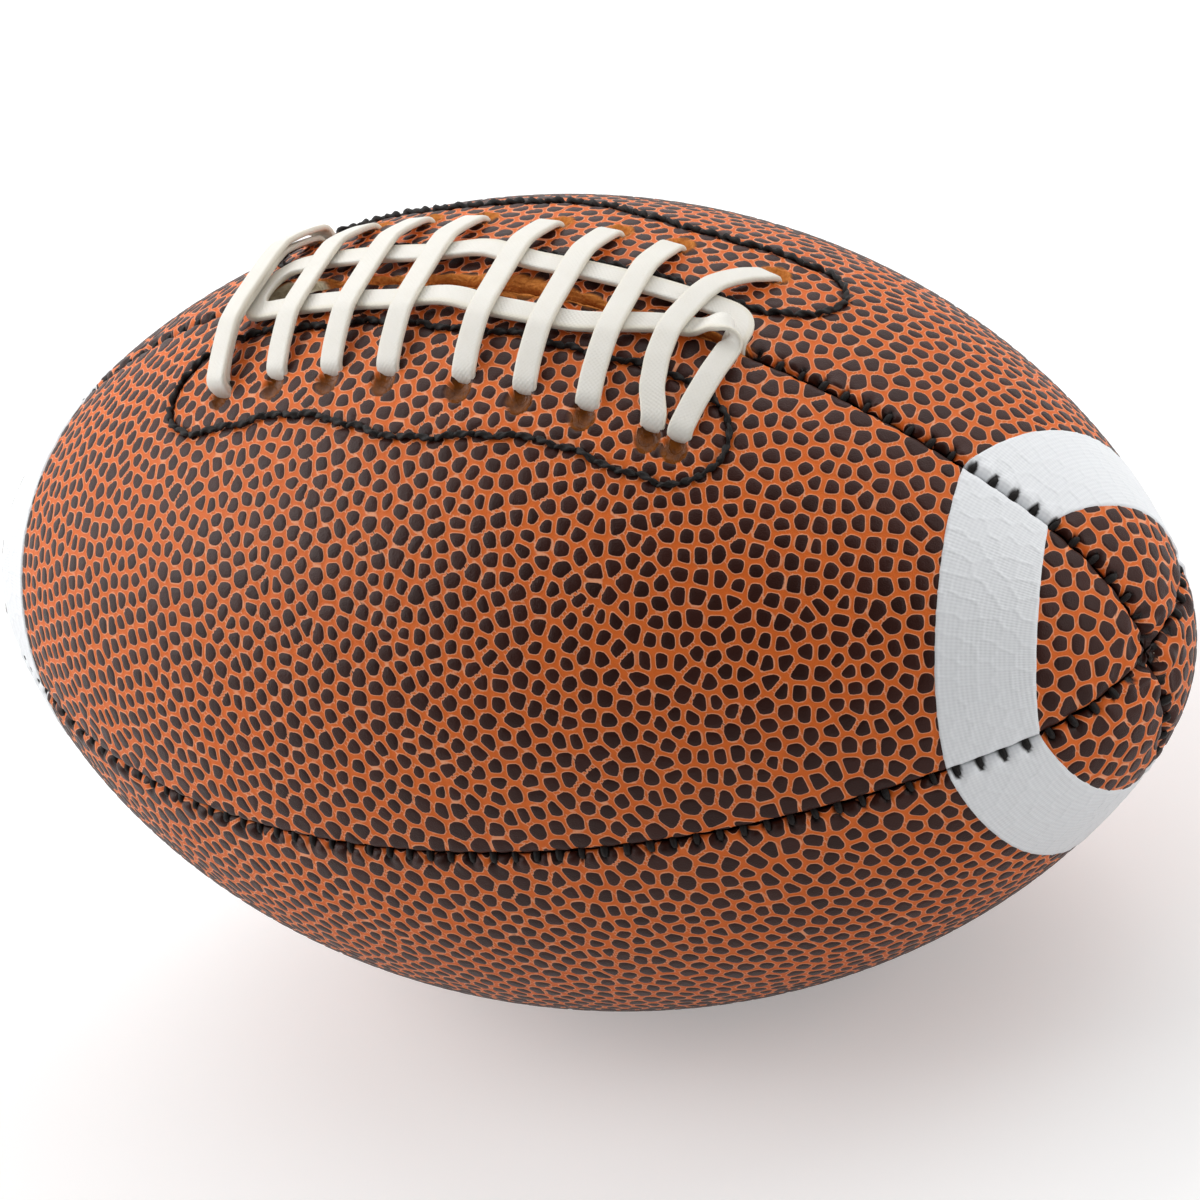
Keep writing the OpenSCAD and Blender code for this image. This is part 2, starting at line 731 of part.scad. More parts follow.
// Guard between the inner runs of the lace and the bladder
module lace_guard() {
    color("#cfc9bb") lifted() difference() {
        intersection() {
            round_form(guard_top + seam_valley);
            translate([lace_middle - guard_length / 2, -guard_width / 2, 0])
                cube([guard_length, guard_width, ball_diameter]);
        }
        round_form(guard_bottom + seam_valley);
    }
}

// Outer form of the bladder, drawn in by inset: round, with grooves for the turned edges and a
// hollow for the lace guard
module bladder_form(inset) {
    slot_half = edge_clear + layer_gap + inset;
    difference() {
        round_form(bladder_top + seam_valley + inset);
        difference() {
            union() {
                for (turn = [0, 90])
                    rotate([turn, 0, 0])
                        translate([-ball_length, -slot_half, -ball_diameter])
                            cube([2 * ball_length, 2 * slot_half, 2 * ball_diameter]);
            }
            round_form(turned_edge_depth + seam_valley + layer_gap + inset);
        }
        difference() {
            translate([lace_middle - hollow_half_length - inset, -hollow_half_width - inset, 0])
                cube([2 * (hollow_half_length + inset), 2 * (hollow_half_width + inset), ball_diameter]);
            round_form(guard_bottom + seam_valley + layer_gap + inset);
        }
    }
}

module bladder() {
    color("#3a3a3c") lifted() difference() {
        bladder_form(0);
        bladder_form(bladder_thickness);
        valve_at() cylinder(r = valve_radius + valve_seat_wall + layer_gap, h = ball_diameter);
    }
}

// Turns a shape that stands on +Z to the valve's place on the lower rear panel
module valve_at() {
    rotate([225 + valve_turn, 0, 0]) children();
}

// Rubber seat that holds the valve plug in the bladder's wall
module valve_seat() {
    wall_inside = bladder_top + seam_valley + bladder_thickness + layer_gap;
    tube_radius = valve_radius + valve_seat_wall;
    tube_top = ball_diameter / 2 - cover_thickness - pow(tube_radius, 2) / (2 * panel_radius) - layer_gap;
    tube_bottom = plug_bottom - layer_gap - valve_seat_wall;
    color("#26262a") lifted() difference() {
        union() {
            intersection() {
                difference() {
                    round_form(wall_inside);
                    round_form(wall_inside + valve_seat_wall);
                }
                valve_at() cylinder(r = valve_flange_radius, h = ball_diameter);
            }
            valve_at()
                translate([0, 0, tube_bottom])
                    cylinder(r = tube_radius, h = tube_top - tube_bottom);
        }
        valve_at()
            translate([0, 0, plug_bottom - layer_gap])
                cylinder(r = valve_radius + layer_gap, h = ball_diameter);
    }
}

// Rubber plug with the blind bore for the pump's needle
module valve_plug() {
    color("#141416") lifted() valve_at() difference() {
        translate([0, 0, plug_bottom]) cylinder(r = valve_radius, h = valve_length);
        translate([0, 0, plug_top - needle_depth]) cylinder(r = needle_radius, h = needle_depth + overrun);
    }
}

// A hole for the valve, in the front upper quarter's shape
module valve_hole(radius) {
    rotate([45 + valve_turn, 0, 0]) cylinder(r = radius, h = ball_diameter);
}

panel_front_upper();
panel_front_lower();
panel_rear_lower();
panel_rear_upper();
lining("front_upper");  // lining_front_upper
lining("front_lower");  // lining_front_lower
lining("rear_lower");  // lining_rear_lower
lining("rear_upper");  // lining_rear_upper
stripe("front_upper", "right");  // stripe_right_front_upper
stripe("front_lower", "right");  // stripe_right_front_lower
stripe("rear_lower", "right");  // stripe_right_rear_lower
stripe("rear_upper", "right");  // stripe_right_rear_upper
stripe("front_upper", "left");  // stripe_left_front_upper
stripe("front_lower", "left");  // stripe_left_front_lower
stripe("rear_lower", "left");  // stripe_left_rear_lower
stripe("rear_upper", "left");  // stripe_left_rear_upper
seam_thread_top();
seam_thread_front();
seam_thread_bottom();
seam_thread_rear();
lace();
patch_front();
patch_rear();
patch_thread_front();
patch_thread_rear();
lace_guard();
bladder();
valve_seat();
valve_plug();
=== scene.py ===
"""Looks of a mini size american football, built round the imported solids.

Shapes are worked out in millimetres about the ball's middle and put into meshes in metres.
"""

import math

import bpy
import numpy as np
from mathutils import Matrix, Vector


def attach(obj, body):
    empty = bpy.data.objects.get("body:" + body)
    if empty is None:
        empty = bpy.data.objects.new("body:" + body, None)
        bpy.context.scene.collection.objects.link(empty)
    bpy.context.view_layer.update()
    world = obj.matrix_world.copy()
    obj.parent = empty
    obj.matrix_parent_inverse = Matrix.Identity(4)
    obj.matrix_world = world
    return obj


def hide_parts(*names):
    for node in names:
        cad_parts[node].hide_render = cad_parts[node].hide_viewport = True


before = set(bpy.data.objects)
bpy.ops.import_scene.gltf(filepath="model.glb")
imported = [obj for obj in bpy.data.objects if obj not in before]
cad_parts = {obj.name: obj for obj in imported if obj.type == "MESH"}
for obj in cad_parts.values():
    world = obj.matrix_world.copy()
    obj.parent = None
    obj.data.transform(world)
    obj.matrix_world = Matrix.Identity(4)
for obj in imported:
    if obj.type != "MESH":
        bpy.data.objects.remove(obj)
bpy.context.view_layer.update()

MM = 0.001

# The ball's form, as in the solids, in millimetres
BALL_LENGTH = 220.0
BALL_DIAMETER = 132.0
TIP_RADIUS = 33.0
PANEL_SWELL = 2.5
SWELL_AXIS = PANEL_SWELL / math.sqrt(2)
PANEL_RADIUS = BALL_DIAMETER / 2 - PANEL_SWELL
TIP_ARC = TIP_RADIUS - PANEL_SWELL
TIP_CENTRE = BALL_LENGTH / 2 - TIP_ARC
BODY_ARC = (TIP_CENTRE**2 + PANEL_RADIUS**2 - TIP_ARC**2) / (2 * (PANEL_RADIUS - TIP_ARC))
BODY_CENTRE = BODY_ARC - PANEL_RADIUS
JOIN_ANGLE = math.atan2(TIP_CENTRE, BODY_CENTRE)
MIDDLE_HEIGHT = SWELL_AXIS + PANEL_RADIUS

# Lengths along a panel's middle line, from the ball's middle
BODY_RUN = BODY_ARC * JOIN_ANGLE
PANEL_RUN = BODY_RUN + TIP_ARC * (math.pi / 2 - JOIN_ANGLE)

# Seams
HALF_GAP = 0.15
EDGE_RADIUS = 1.6
EDGE_REACH = HALF_GAP + EDGE_RADIUS
STITCH_PITCH = 4.0
STITCH_COUNT = 32

# Laces
LACE_WIDTH = 4.2
LACE_THICKNESS = 1.4
LACE_PITCH = 11.5
LACE_MIDDLE_PITCH = 14.8
LACE_MIDDLE = 2.2
LACE_HOLE_OFFSET = 19.6
STRAND_OFFSET = 6.0
STRAND_HEIGHT = 1.3
CROSSING_GAP = 0.2
LAYER_GAP = 0.05
PATCH_THREAD = 0.9
LACE_X = [
    LACE_MIDDLE + (k - 3.5) * LACE_PITCH + math.copysign((LACE_MIDDLE_PITCH - LACE_PITCH) / 2, k - 3.5)
    for k in range(8)
]
LACE_SLANT = 5.5
LAST_PULL_SHARE = 0.85
STRAND_DRIFT = 6.0
TAIL_X = LACE_X[7] + LACE_WIDTH * 1.1
OPENING_START = LACE_X[0] - LACE_PITCH * 0.6
OPENING_END = LACE_X[7] + LACE_PITCH * 0.6

# Stripes
STRIPE_START = 90.5
STRIPE_WIDTH = 11.9
STRIPE_BOW = 131.0
STRIPE_TIP_BOW = 66.0
STRIPE_LEAN_SHARE = 0.055
STRIPE_EDGES = ((STRIPE_START, STRIPE_BOW), (STRIPE_START + STRIPE_WIDTH, STRIPE_TIP_BOW))

# Embossed grain: distance from pebble to pebble, half width of the ground between them, and relief
PEBBLE_PITCH = 3.4
GROUND_HALF = 0.37
PEBBLE_RELIEF = 0.24

# The valve's place on the lower rear panel: turn from the seam above it, and radius of its hole
VALVE_TURN = math.radians(48)
VALVE_RADIUS = 2.6

# Whether each panel shows the stitches beside its top or bottom seam, and beside its front or rear
# one. The other panel's edge swells over the thread and hides it.
STITCHED_SIDES = {
    "front_upper": (False, False),
    "front_lower": (False, True),
    "rear_lower": (True, True),
    "rear_upper": (True, False),
}

# Each quarter's mirror signs across Y and Z, and whether its grain is laid the other way round
QUARTERS = {
    "front_upper": (1, 1, False),
    "front_lower": (1, -1, True),
    "rear_lower": (-1, -1, False),
    "rear_upper": (-1, 1, True),
}


def smooth(low, high, value):
    """Goes smoothly from 0 at low to 1 at high."""
    t = np.clip((value - low) / (high - low), 0, 1)
    return t * t * (3 - 2 * t)


def bell(value, width):
    """A bell curve of height 1 and the given width."""
    return np.exp(-((value / width) ** 2))


def unit(vectors):
    """The vectors at length 1."""
    return vectors / np.linalg.norm(vectors, axis=-1, keepdims=True)


def length_along(path):
    """Length from a path's start to each of its points."""
    return np.concatenate([[0], np.cumsum(np.linalg.norm(np.diff(path, axis=0), axis=1))])


def surface(run, turn):
    """Points, outward normals and reach from the ball's axis on the front upper panel.

    run is the length along the panel's middle line from the ball's middle, and turn the angle round
    the ball's axis from straight up towards the front. The body is a long arc turned about an axis
    that lies beside the ball's own, and each tip is a part of a sphere about a point of that axis,
    reached by rays from the ball's axis.
    """
    end = np.where(run < 0, -1.0, 1.0)
    length = np.abs(run)
    near = SWELL_AXIS * (np.sin(turn) + np.cos(turn))
    across = SWELL_AXIS * (np.cos(turn) - np.sin(turn))

    slope = np.minimum(length, BODY_RUN) / BODY_ARC
    body_x = BODY_ARC * np.sin(slope)
    ring = BODY_ARC * np.cos(slope) - BODY_CENTRE
    body_reach = near + np.sqrt(ring**2 - across**2)

    share = np.clip((length - BODY_RUN) / (PANEL_RUN - BODY_RUN), 0, 1)
    join_ray = np.arctan2(body_x - TIP_CENTRE, body_reach)
    ray = join_ray + (np.pi / 2 - join_ray) * share
    ahead = np.cos(ray) * near
    ray_length = ahead + np.sqrt(TIP_ARC**2 - 2 * SWELL_AXIS**2 + ahead**2)

    on_tip = length > BODY_RUN
    x = np.where(on_tip, TIP_CENTRE + ray_length * np.sin(ray), body_x)
    reach = np.where(on_tip, ray_length * np.cos(ray), body_reach)
    y = -reach * np.sin(turn)
    z = reach * np.cos(turn)
    side_y = (y + SWELL_AXIS) / np.where(on_tip, TIP_ARC, ring)
    side_z = (z - SWELL_AXIS) / np.where(on_tip, TIP_ARC, ring)
    normal_x = np.where(on_tip, (x - TIP_CENTRE) / TIP_ARC, np.sin(slope))
    flat = np.where(on_tip, 1.0, np.cos(slope))
    points = np.stack([end * x, y, z], -1)
    normals = np.stack([end * normal_x, flat * side_y, flat * side_z], -1)
    return points, normals, reach


def beside_seam(run, side):
    """Turn of a point that lies a distance beside the top seam."""
    reach = surface(run, np.zeros_like(run))[2]
    return np.arcsin(np.minimum(side / np.maximum(reach, 1e-6), 0.68))


# The rolled edge of a panel: distance beside the seam and depth, from the face down into the seam
ROLL_STEPS = 8
WALL_DEPTHS = np.array([2.6, 3.8])
roll_angle = np.linspace(0, np.pi / 2, ROLL_STEPS)
ROLL_SIDE = np.concatenate([EDGE_REACH - EDGE_RADIUS * np.sin(roll_angle), [HALF_GAP, HALF_GAP]])
ROLL_DEPTH = np.concatenate([EDGE_RADIUS * (1 - np.cos(roll_angle)), WALL_DEPTHS])

PANEL_ROWS = 520
FACE_COLUMNS = 166
ROLL_COLUMNS = len(ROLL_SIDE)


def seam_frame(run):
    """Turn and depth of a panel's grid, from the run of each of its points.

    The columns are the rolled edge at the top seam, the face, and the rolled edge at the front seam.
    """
    face_columns = run.shape[1] - 2 * ROLL_COLUMNS
    top_roll = beside_seam(run[:, :ROLL_COLUMNS], ROLL_SIDE[None, ::-1])
    front_roll = np.pi / 2 - beside_seam(run[:, -ROLL_COLUMNS:], ROLL_SIDE[None, :])
    face_run = run[:, ROLL_COLUMNS:-ROLL_COLUMNS]
    first = beside_seam(face_run, np.full((1, 1), EDGE_REACH))
    share = (np.arange(1, face_columns + 1) / (face_columns + 1))[None, :]
    face = first + (np.pi / 2 - 2 * first) * share
    turn = np.concatenate([top_roll, face, front_roll], 1)
    depth = np.concatenate([ROLL_DEPTH[::-1], np.zeros(face_columns), ROLL_DEPTH])
    return turn, np.broadcast_to(depth[None, :], turn.shape)


def grid_faces(rows, columns, closed=False, first=0):
    """Corner numbers of the faces of a grid of rows and columns, closed across the columns if asked."""
    i = np.arange(rows - 1)[:, None]
    j = np.arange(columns if closed else columns - 1)[None, :]
    right = (j + 1) % columns
    corners = np.stack(np.broadcast_arrays(i * columns + j, i * columns + right,
                                           (i + 1) * columns + right, (i + 1) * columns + j), -1)
    return corners.reshape(-1, 4) + first


def put_in_scene(name, data):
    """An object of the scene, from a mesh, a camera's or a lamp's data."""
    thing = bpy.data.objects.new(name, data)
    bpy.context.scene.collection.objects.link(thing)
    return thing


def make_piece(name, points, faces, material, values=None, uv=None, flip=False):
    """A smooth mesh object from points in millimetres about the ball's middle and faces of 4 corners."""
    placed = (points.reshape(-1, 3) + [0, 0, MIDDLE_HEIGHT]) * MM
    faces = faces[:, ::-1] if flip else faces
    mesh = bpy.data.meshes.new(name)
    mesh.vertices.add(len(placed))
    mesh.vertices.foreach_set("co", placed.astype(np.float32).ravel())
    mesh.loops.add(faces.size)
    mesh.loops.foreach_set("vertex_index", faces.astype(np.int32).ravel())
    mesh.polygons.add(len(faces))
    mesh.polygons.foreach_set("loop_start", np.arange(0, faces.size, 4, dtype=np.int32))
    mesh.polygons.foreach_set("use_smooth", np.ones(len(faces), bool))
    mesh.update(calc_edges=True)
    for key, value in (values or {}).items():
        attribute = mesh.attributes.new(key, "FLOAT", "POINT")
        attribute.data.foreach_set("value", value.astype(np.float32).ravel())
    if uv is not None:
        layer = mesh.uv_layers.new(name="UVMap")
        layer.data.foreach_set("uv", uv.reshape(-1, 2)[faces.ravel()].astype(np.float32).ravel())
    mesh.materials.append(material)
    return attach(put_in_scene(name, mesh), "root")


def at_quarter(points, quarter):
    """Mirrors points of the front upper quarter to another quarter."""
    y_sign, z_sign, _ = QUARTERS[quarter]
    return points * [1, y_sign, z_sign]


def is_mirrored(quarter):
    """Whether a quarter's faces have to turn round after its mirroring."""
    y_sign, z_sign, _ = QUARTERS[quarter]
    return y_sign * z_sign < 0


# Grain


def nearest(points, seeds):
    """Number of the nearest seed for each point, in blocks that fit in memory."""
    seed_square = (seeds**2).sum(1).astype(np.float32)
    seed_rows = (-2 * seeds.T).astype(np.float32)
    found = [
        np.argmin(block.astype(np.float32) @ seed_rows + seed_square, 1)
        for block in np.array_split(points, max(1, len(points) // 4000))
    ]
    return np.concatenate(found)


def grow_pebbles(points, areas):
    """Middles of the pebbles on a panel: set in staggered rows across it, each a little out of place,
    then moved a few times to the middles of the places nearest to them, which spreads them as an
    embossing roll's grain is spread."""
    rng = np.random.default_rng(7)
    runs, turns = [], []
    for k, row in enumerate(np.arange(-PANEL_RUN + 1, PANEL_RUN, 0.866 * PEBBLE_PITCH)):
        reach = float(surface(np.array(row), np.array(np.pi / 4))[2])
        count = max(1, round(reach * np.pi / 2 / PEBBLE_PITCH))
        place = (np.arange(count) + (0.25 if k % 2 else 0.75)) / count * np.pi / 2
        stray = rng.normal(0, 0.2 * PEBBLE_PITCH, (2, count))
        runs.append(row + stray[0])
        turns.append(place + stray[1] / max(reach, PEBBLE_PITCH))
    run = np.clip(np.concatenate(runs), 1 - PANEL_RUN, PANEL_RUN - 1)
    seeds = surface(run, np.clip(np.concatenate(turns), 0, np.pi / 2))[0]
    half = rng.permutation(len(points))[::2]
    points, areas = points[half], areas[half] * 2
    count = len(seeds)
    for _ in range(16):
        owner = nearest(points, seeds)
        weight = np.bincount(owner, areas, count)
        moved = np.stack([np.bincount(owner, areas * points[:, axis], count) for axis in range(3)], 1)
        seeds = np.where(weight[:, None] > 0, moved / np.maximum(weight, 1e-9)[:, None], seeds)
    return seeds


def pebble_field(points, seeds):
    """Distance of each point from the border of its pebble's cell, with the corners rounded, and a
    random tone for each pebble.

    The distance to the border with each neighbour is half the difference of the squared distances
    over the distance of the two middles. A soft minimum over the neighbours rounds the corners.
    """
    rng = np.random.default_rng(11)
    tones = rng.random(len(seeds))
    sizes = rng.normal(0, 0.05, len(seeds))
    between = ((seeds[:, None, :] - seeds[None, :, :]) ** 2).sum(2)
    neighbours = np.argsort(between, 1)[:, 1:13]
    owner = nearest(points, seeds)
    own = ((points - seeds[owner]) ** 2).sum(1)
    round_off = 0.19
    total = np.zeros(len(points))
    for k in range(neighbours.shape[1]):
        other = neighbours[owner, k]
        gap = np.sqrt(between[owner, other])
        border = (((points - seeds[other]) ** 2).sum(1) - own) / (2 * gap)
        total += np.exp(-border / round_off)
    return -round_off * np.log(total) + sizes[owner], tones[owner]


# Places on the panel


def stripe_edge(across, start, bow):
    """Place along the ball of a bowed stripe edge, by the distance from the panel's middle line. The
    bow's middle lies a little towards the front seam."""
    return start - bow + np.sqrt(np.maximum(bow**2 - (across + STRIPE_LEAN_SHARE * bow) ** 2, 0))


def across_panel(points):
    """Distance of the front upper panel's points from its middle line, upwards."""
    return (points[..., 1] + points[..., 2]) / math.sqrt(2)


def stripe_cover(points):
    """1 under a stripe's film and 0 beside it."""
    x = np.abs(points[..., 0])
    inner, outer = (stripe_edge(across_panel(points), *edge) for edge in STRIPE_EDGES)
    return smooth(-0.3, 0.3, x - inner) * smooth(-0.3, 0.3, outer - x)


def along_stitches(run):
    """Distance along the seam to the nearest stitch."""
    return np.abs((np.abs(run) % STITCH_PITCH) - STITCH_PITCH / 2)


# Height between two stitches and depth at each one, where the stitches show and where they hide
SHOWN_PULL = (0.28, 0.8)
HIDDEN_PULL = (0.14, 0.08)


def seam_pull(stitch, side, shown):
    """Height that the seam gives the cover beside it: a long pit at each stitch where it shows, and
    a soft swelling between two stitches."""
    pit = bell(stitch, 0.62) * bell(side - 0.8, 1.15)
    swelling = bell(stitch - STITCH_PITCH / 2, 1.3) * bell(side - 1.4, 1.5)
    rise, fall = SHOWN_PULL if shown else HIDDEN_PULL
    return rise * swelling - fall * pit


def stitch_mark(stitch, side):
    """1 in the drop-shaped pit of a stitch, which is widest deep in the seam, and 0 beside it. The dark
    painted there is partly the black thread and partly painted shade of the hollow.
    """
    width = 0.78 * np.sqrt(np.clip((2.0 - side) / 1.5, 0, 1))
    return smooth(0.12, -0.12, stitch - width) * smooth(2.1, 1.8, side)


def wander(run, seed, size):
    """A slow random-looking wave along the ball."""
    phases = np.random.default_rng(seed).random(5) * 2 * np.pi
    lengths = np.array([5.3, 8.7, 13.1, 21.0, 37.0])
    waves = [np.sin(2 * np.pi * run / length + phase) for length, phase in zip(lengths, phases)]
    return size * sum(waves) / 3


def opening_gap(x):
    """Half width of the opening under the laces. It gapes between the first two crossings and widens a
    little about its middle."""
    gape = 3.0 * bell(x - (LACE_X[0] + LACE_X[1] - LACE_SLANT) / 2, 5.0)
    return 0.45 + gape + 0.4 * bell(x - 3, 9) + wander(x, 5, 0.12)


def over_opening(x, before, after):
    """1 along the opening and 0 past its ends, eased from a distance before each end to one after."""
    return (smooth(OPENING_START - before, OPENING_START + after, x)
            * smooth(OPENING_END + before, OPENING_END - after, x))


def leaned(k, y):
    """Place along the ball of a crossing, at a place across it. Each one runs straight from hole to
    hole, but the last one goes straight across and is pulled aside in its middle."""
    share = (1 + y / LACE_HOLE_OFFSET) / 2
    return LACE_X[k] - LACE_SLANT * (share if k < 7 else 4 * LAST_PULL_SHARE * share * (1 - share))


# For each upper panel: whether its lace holes are the rear ones, how far out of the lace's own place
# their middles lie, and their half sizes along and round the ball
LACE_HOLES = {"front_upper": (False, 2.2, 2.3, 2.6), "rear_upper": (True, 0.6, 2.35, 2.5)}


def hole_distance(points, rear, out, half_width, half_height):
    """Distance from the nearest lace hole's middle, as a share of the hole's half sizes. The points are
    those of the front upper panel, with the holes of either upper panel."""
    best = np.full(points.shape[:-1], 9.0)
    places = [leaned(k, LACE_HOLE_OFFSET if rear else -LACE_HOLE_OFFSET) for k in range(8)]
    if not rear:
        places.append(TAIL_X)
    for x in places:
        middle = skin(np.array([x]), np.array([-LACE_HOLE_OFFSET - out]), 0.0)[0]
        offset = points - middle
        round_way = np.hypot(offset[..., 1], offset[..., 2])
        best = np.minimum(best, np.hypot(offset[..., 0] / half_width, round_way / half_height))
    return best


def skin_angles(x, y):
    """Offset of the body's axis, slope along the ball, reach from that axis and turn round it, at a
    place along and across the upper half."""
    offset = np.where(y > 0, SWELL_AXIS, -SWELL_AXIS)
    ring = np.sqrt(BODY_ARC**2 - x**2) - BODY_CENTRE
    return offset, np.arcsin(x / BODY_ARC), ring, np.arcsin((y - offset) / ring)


def skin(x, y, height):
    """Points at a height over the cover, by the place along and across the upper half."""
    offset, slope, ring, turn = skin_angles(x, y)
    reach = ring + height * np.cos(slope)
    return np.stack([x + height * np.sin(slope), offset + reach * np.sin(turn),
                     SWELL_AXIS + reach * np.cos(turn)], -1)


def skin_ways(x, y):
    """The ways along the ball, round it and out of it at a place on the upper half."""
    _, slope, _, turn = skin_angles(x, y)
    ahead = [np.cos(slope), -np.sin(slope) * np.sin(turn), -np.sin(slope) * np.cos(turn)]
    about = [np.zeros_like(x), np.cos(turn), -np.sin(turn)]
    out = [np.sin(slope), np.cos(slope) * np.sin(turn), np.cos(slope) * np.cos(turn)]
    return np.stack(ahead, -1), np.stack(about, -1), np.stack(out, -1)


# The patch's sewn loop

PATCH_LENGTH = 108.0
PATCH_NEAR = 10.0
PATCH_FAR = 27.5
PATCH_BULGE = PATCH_FAR * 0.13


def patch_loop(count):
    """Places along and across of a closed sewn loop: two long rows joined by round ends, the far row
    with a bulge in its middle. Evenly spread by length, with a slow waver."""
    half = (PATCH_FAR - PATCH_NEAR) / 2
    row = PATCH_LENGTH / 2 - half
    share = np.linspace(-1, 1, 200, endpoint=False)
    bend = np.radians(90 - 180 * np.arange(60) / 60)
    along = [share * row, row + half * np.cos(bend), -share * row, -row - half * np.cos(bend)]
    out = [PATCH_FAR + PATCH_BULGE * bell(share, 0.25), PATCH_NEAR + half + half * np.sin(bend),
           np.full(200, PATCH_NEAR), PATCH_NEAR + half - half * np.sin(bend)]
    loop = np.stack([LACE_MIDDLE + np.concatenate(along), np.concatenate(out)], 1)
    closed = np.concatenate([loop, loop[:1]])
    length = length_along(closed)
    at = np.linspace(0, length[-1], count, endpoint=False)
    places = np.stack([np.interp(at, length, closed[:, axis]) for axis in (0, 1)], 1)
    turns = 2 * np.pi * at / length[-1]
    waver = 0.35 * np.sin(9 * turns) + 0.22 * np.sin(23 * turns + 1) + 0.12 * np.sin(41 * turns + 2)
    places[:, 1] += waver
    return places, at, length[-1]


def loop_distance(points):
    """Distance of each point from the sewn loop of the front panel."""
    places = patch_loop(900)[0]
    path = skin(places[:, 0], -places[:, 1], 0.0)
    near_loop = points.reshape(-1, 3)
    owner = nearest(near_loop, path)
    return np.linalg.norm(near_loop - path[owner], axis=1).reshape(points.shape[:-1])


# Materials


def tone(code):
    """Linear colour of an sRGB hex code."""
    parts = [int(code[i:i + 2], 16) / 255 for i in (1, 3, 5)]
    return [c / 12.92 if c <= 0.04045 else ((c + 0.055) / 1.055) ** 2.4 for c in parts] + [1.0]


def plug(node, inputs):
    """Sets or links inputs of a node."""
    for key, value in inputs.items():
        if isinstance(value, bpy.types.NodeSocket):
            node.id_data.links.new(value, node.inputs[key])
        else:
            node.inputs[key].default_value = value


def add(tree, kind, inputs=None, output=0, **settings):
    """Adds a shader node with its settings and inputs, and gives one of its outputs."""
    node = tree.nodes.new("ShaderNode" + kind)
    for key, value in settings.items():
        setattr(node, key, value)
    plug(node, inputs or {})
    return node.outputs[output]


def per_mm(millimetres):
    """Texture scale on Object coordinates for features of a size in millimetres."""
    return 1 / (millimetres * MM)


def new_material(name):
    """A material with a Principled shader, and its tree."""
    material = bpy.data.materials.new(name)
    material.use_nodes = True
    return material, material.node_tree


def paint(tree, coats, under=(0, 0, 0, 1)):
    """Colour of several coats over another colour. Each coat is the share that it covers of those
    before it, the pattern that mixes its two tones, and the tones."""
    colour = under
    for share, pattern, first, second in coats:
        coat = add(tree, "Mix", {0: pattern, 6: tone(first), 7: tone(second)}, 2, data_type="RGBA")
        colour = add(tree, "Mix", {0: share, 6: colour, 7: coat}, 2, data_type="RGBA")
    return colour


def weave(tree, pitch, joined):
    """Waves of threads along and across a piece's own map, a pitch in millimetres apart."""
    place = add(tree, "SeparateXYZ", {0: add(tree, "UVMap", uv_map="UVMap")}).node.outputs
    waves = []
    for axis in (0, 1):
        angle = add(tree, "Math", {0: place[axis], 1: 2 * math.pi / pitch}, operation="MULTIPLY")
        waves.append(add(tree, "Math", {0: angle}, operation="SINE"))
    return add(tree, "Math", {0: waves[0], 1: waves[1]}, operation=joined)


def finish(material, colour, roughness, height, strength=1.0, depth=1.0, others=None):
    """Gives a material its colour and roughness, and a bump whose height is a share of a depth in
    millimetres."""
    tree = material.node_tree
    bump = add(tree, "Bump", {"Height": height, "Strength": strength, "Distance": depth * MM})
    inputs = {"Base Color": colour, "Roughness": roughness, "Normal": bump, **(others or {})}
    plug(tree.nodes["Principled BSDF"], inputs)
    return material


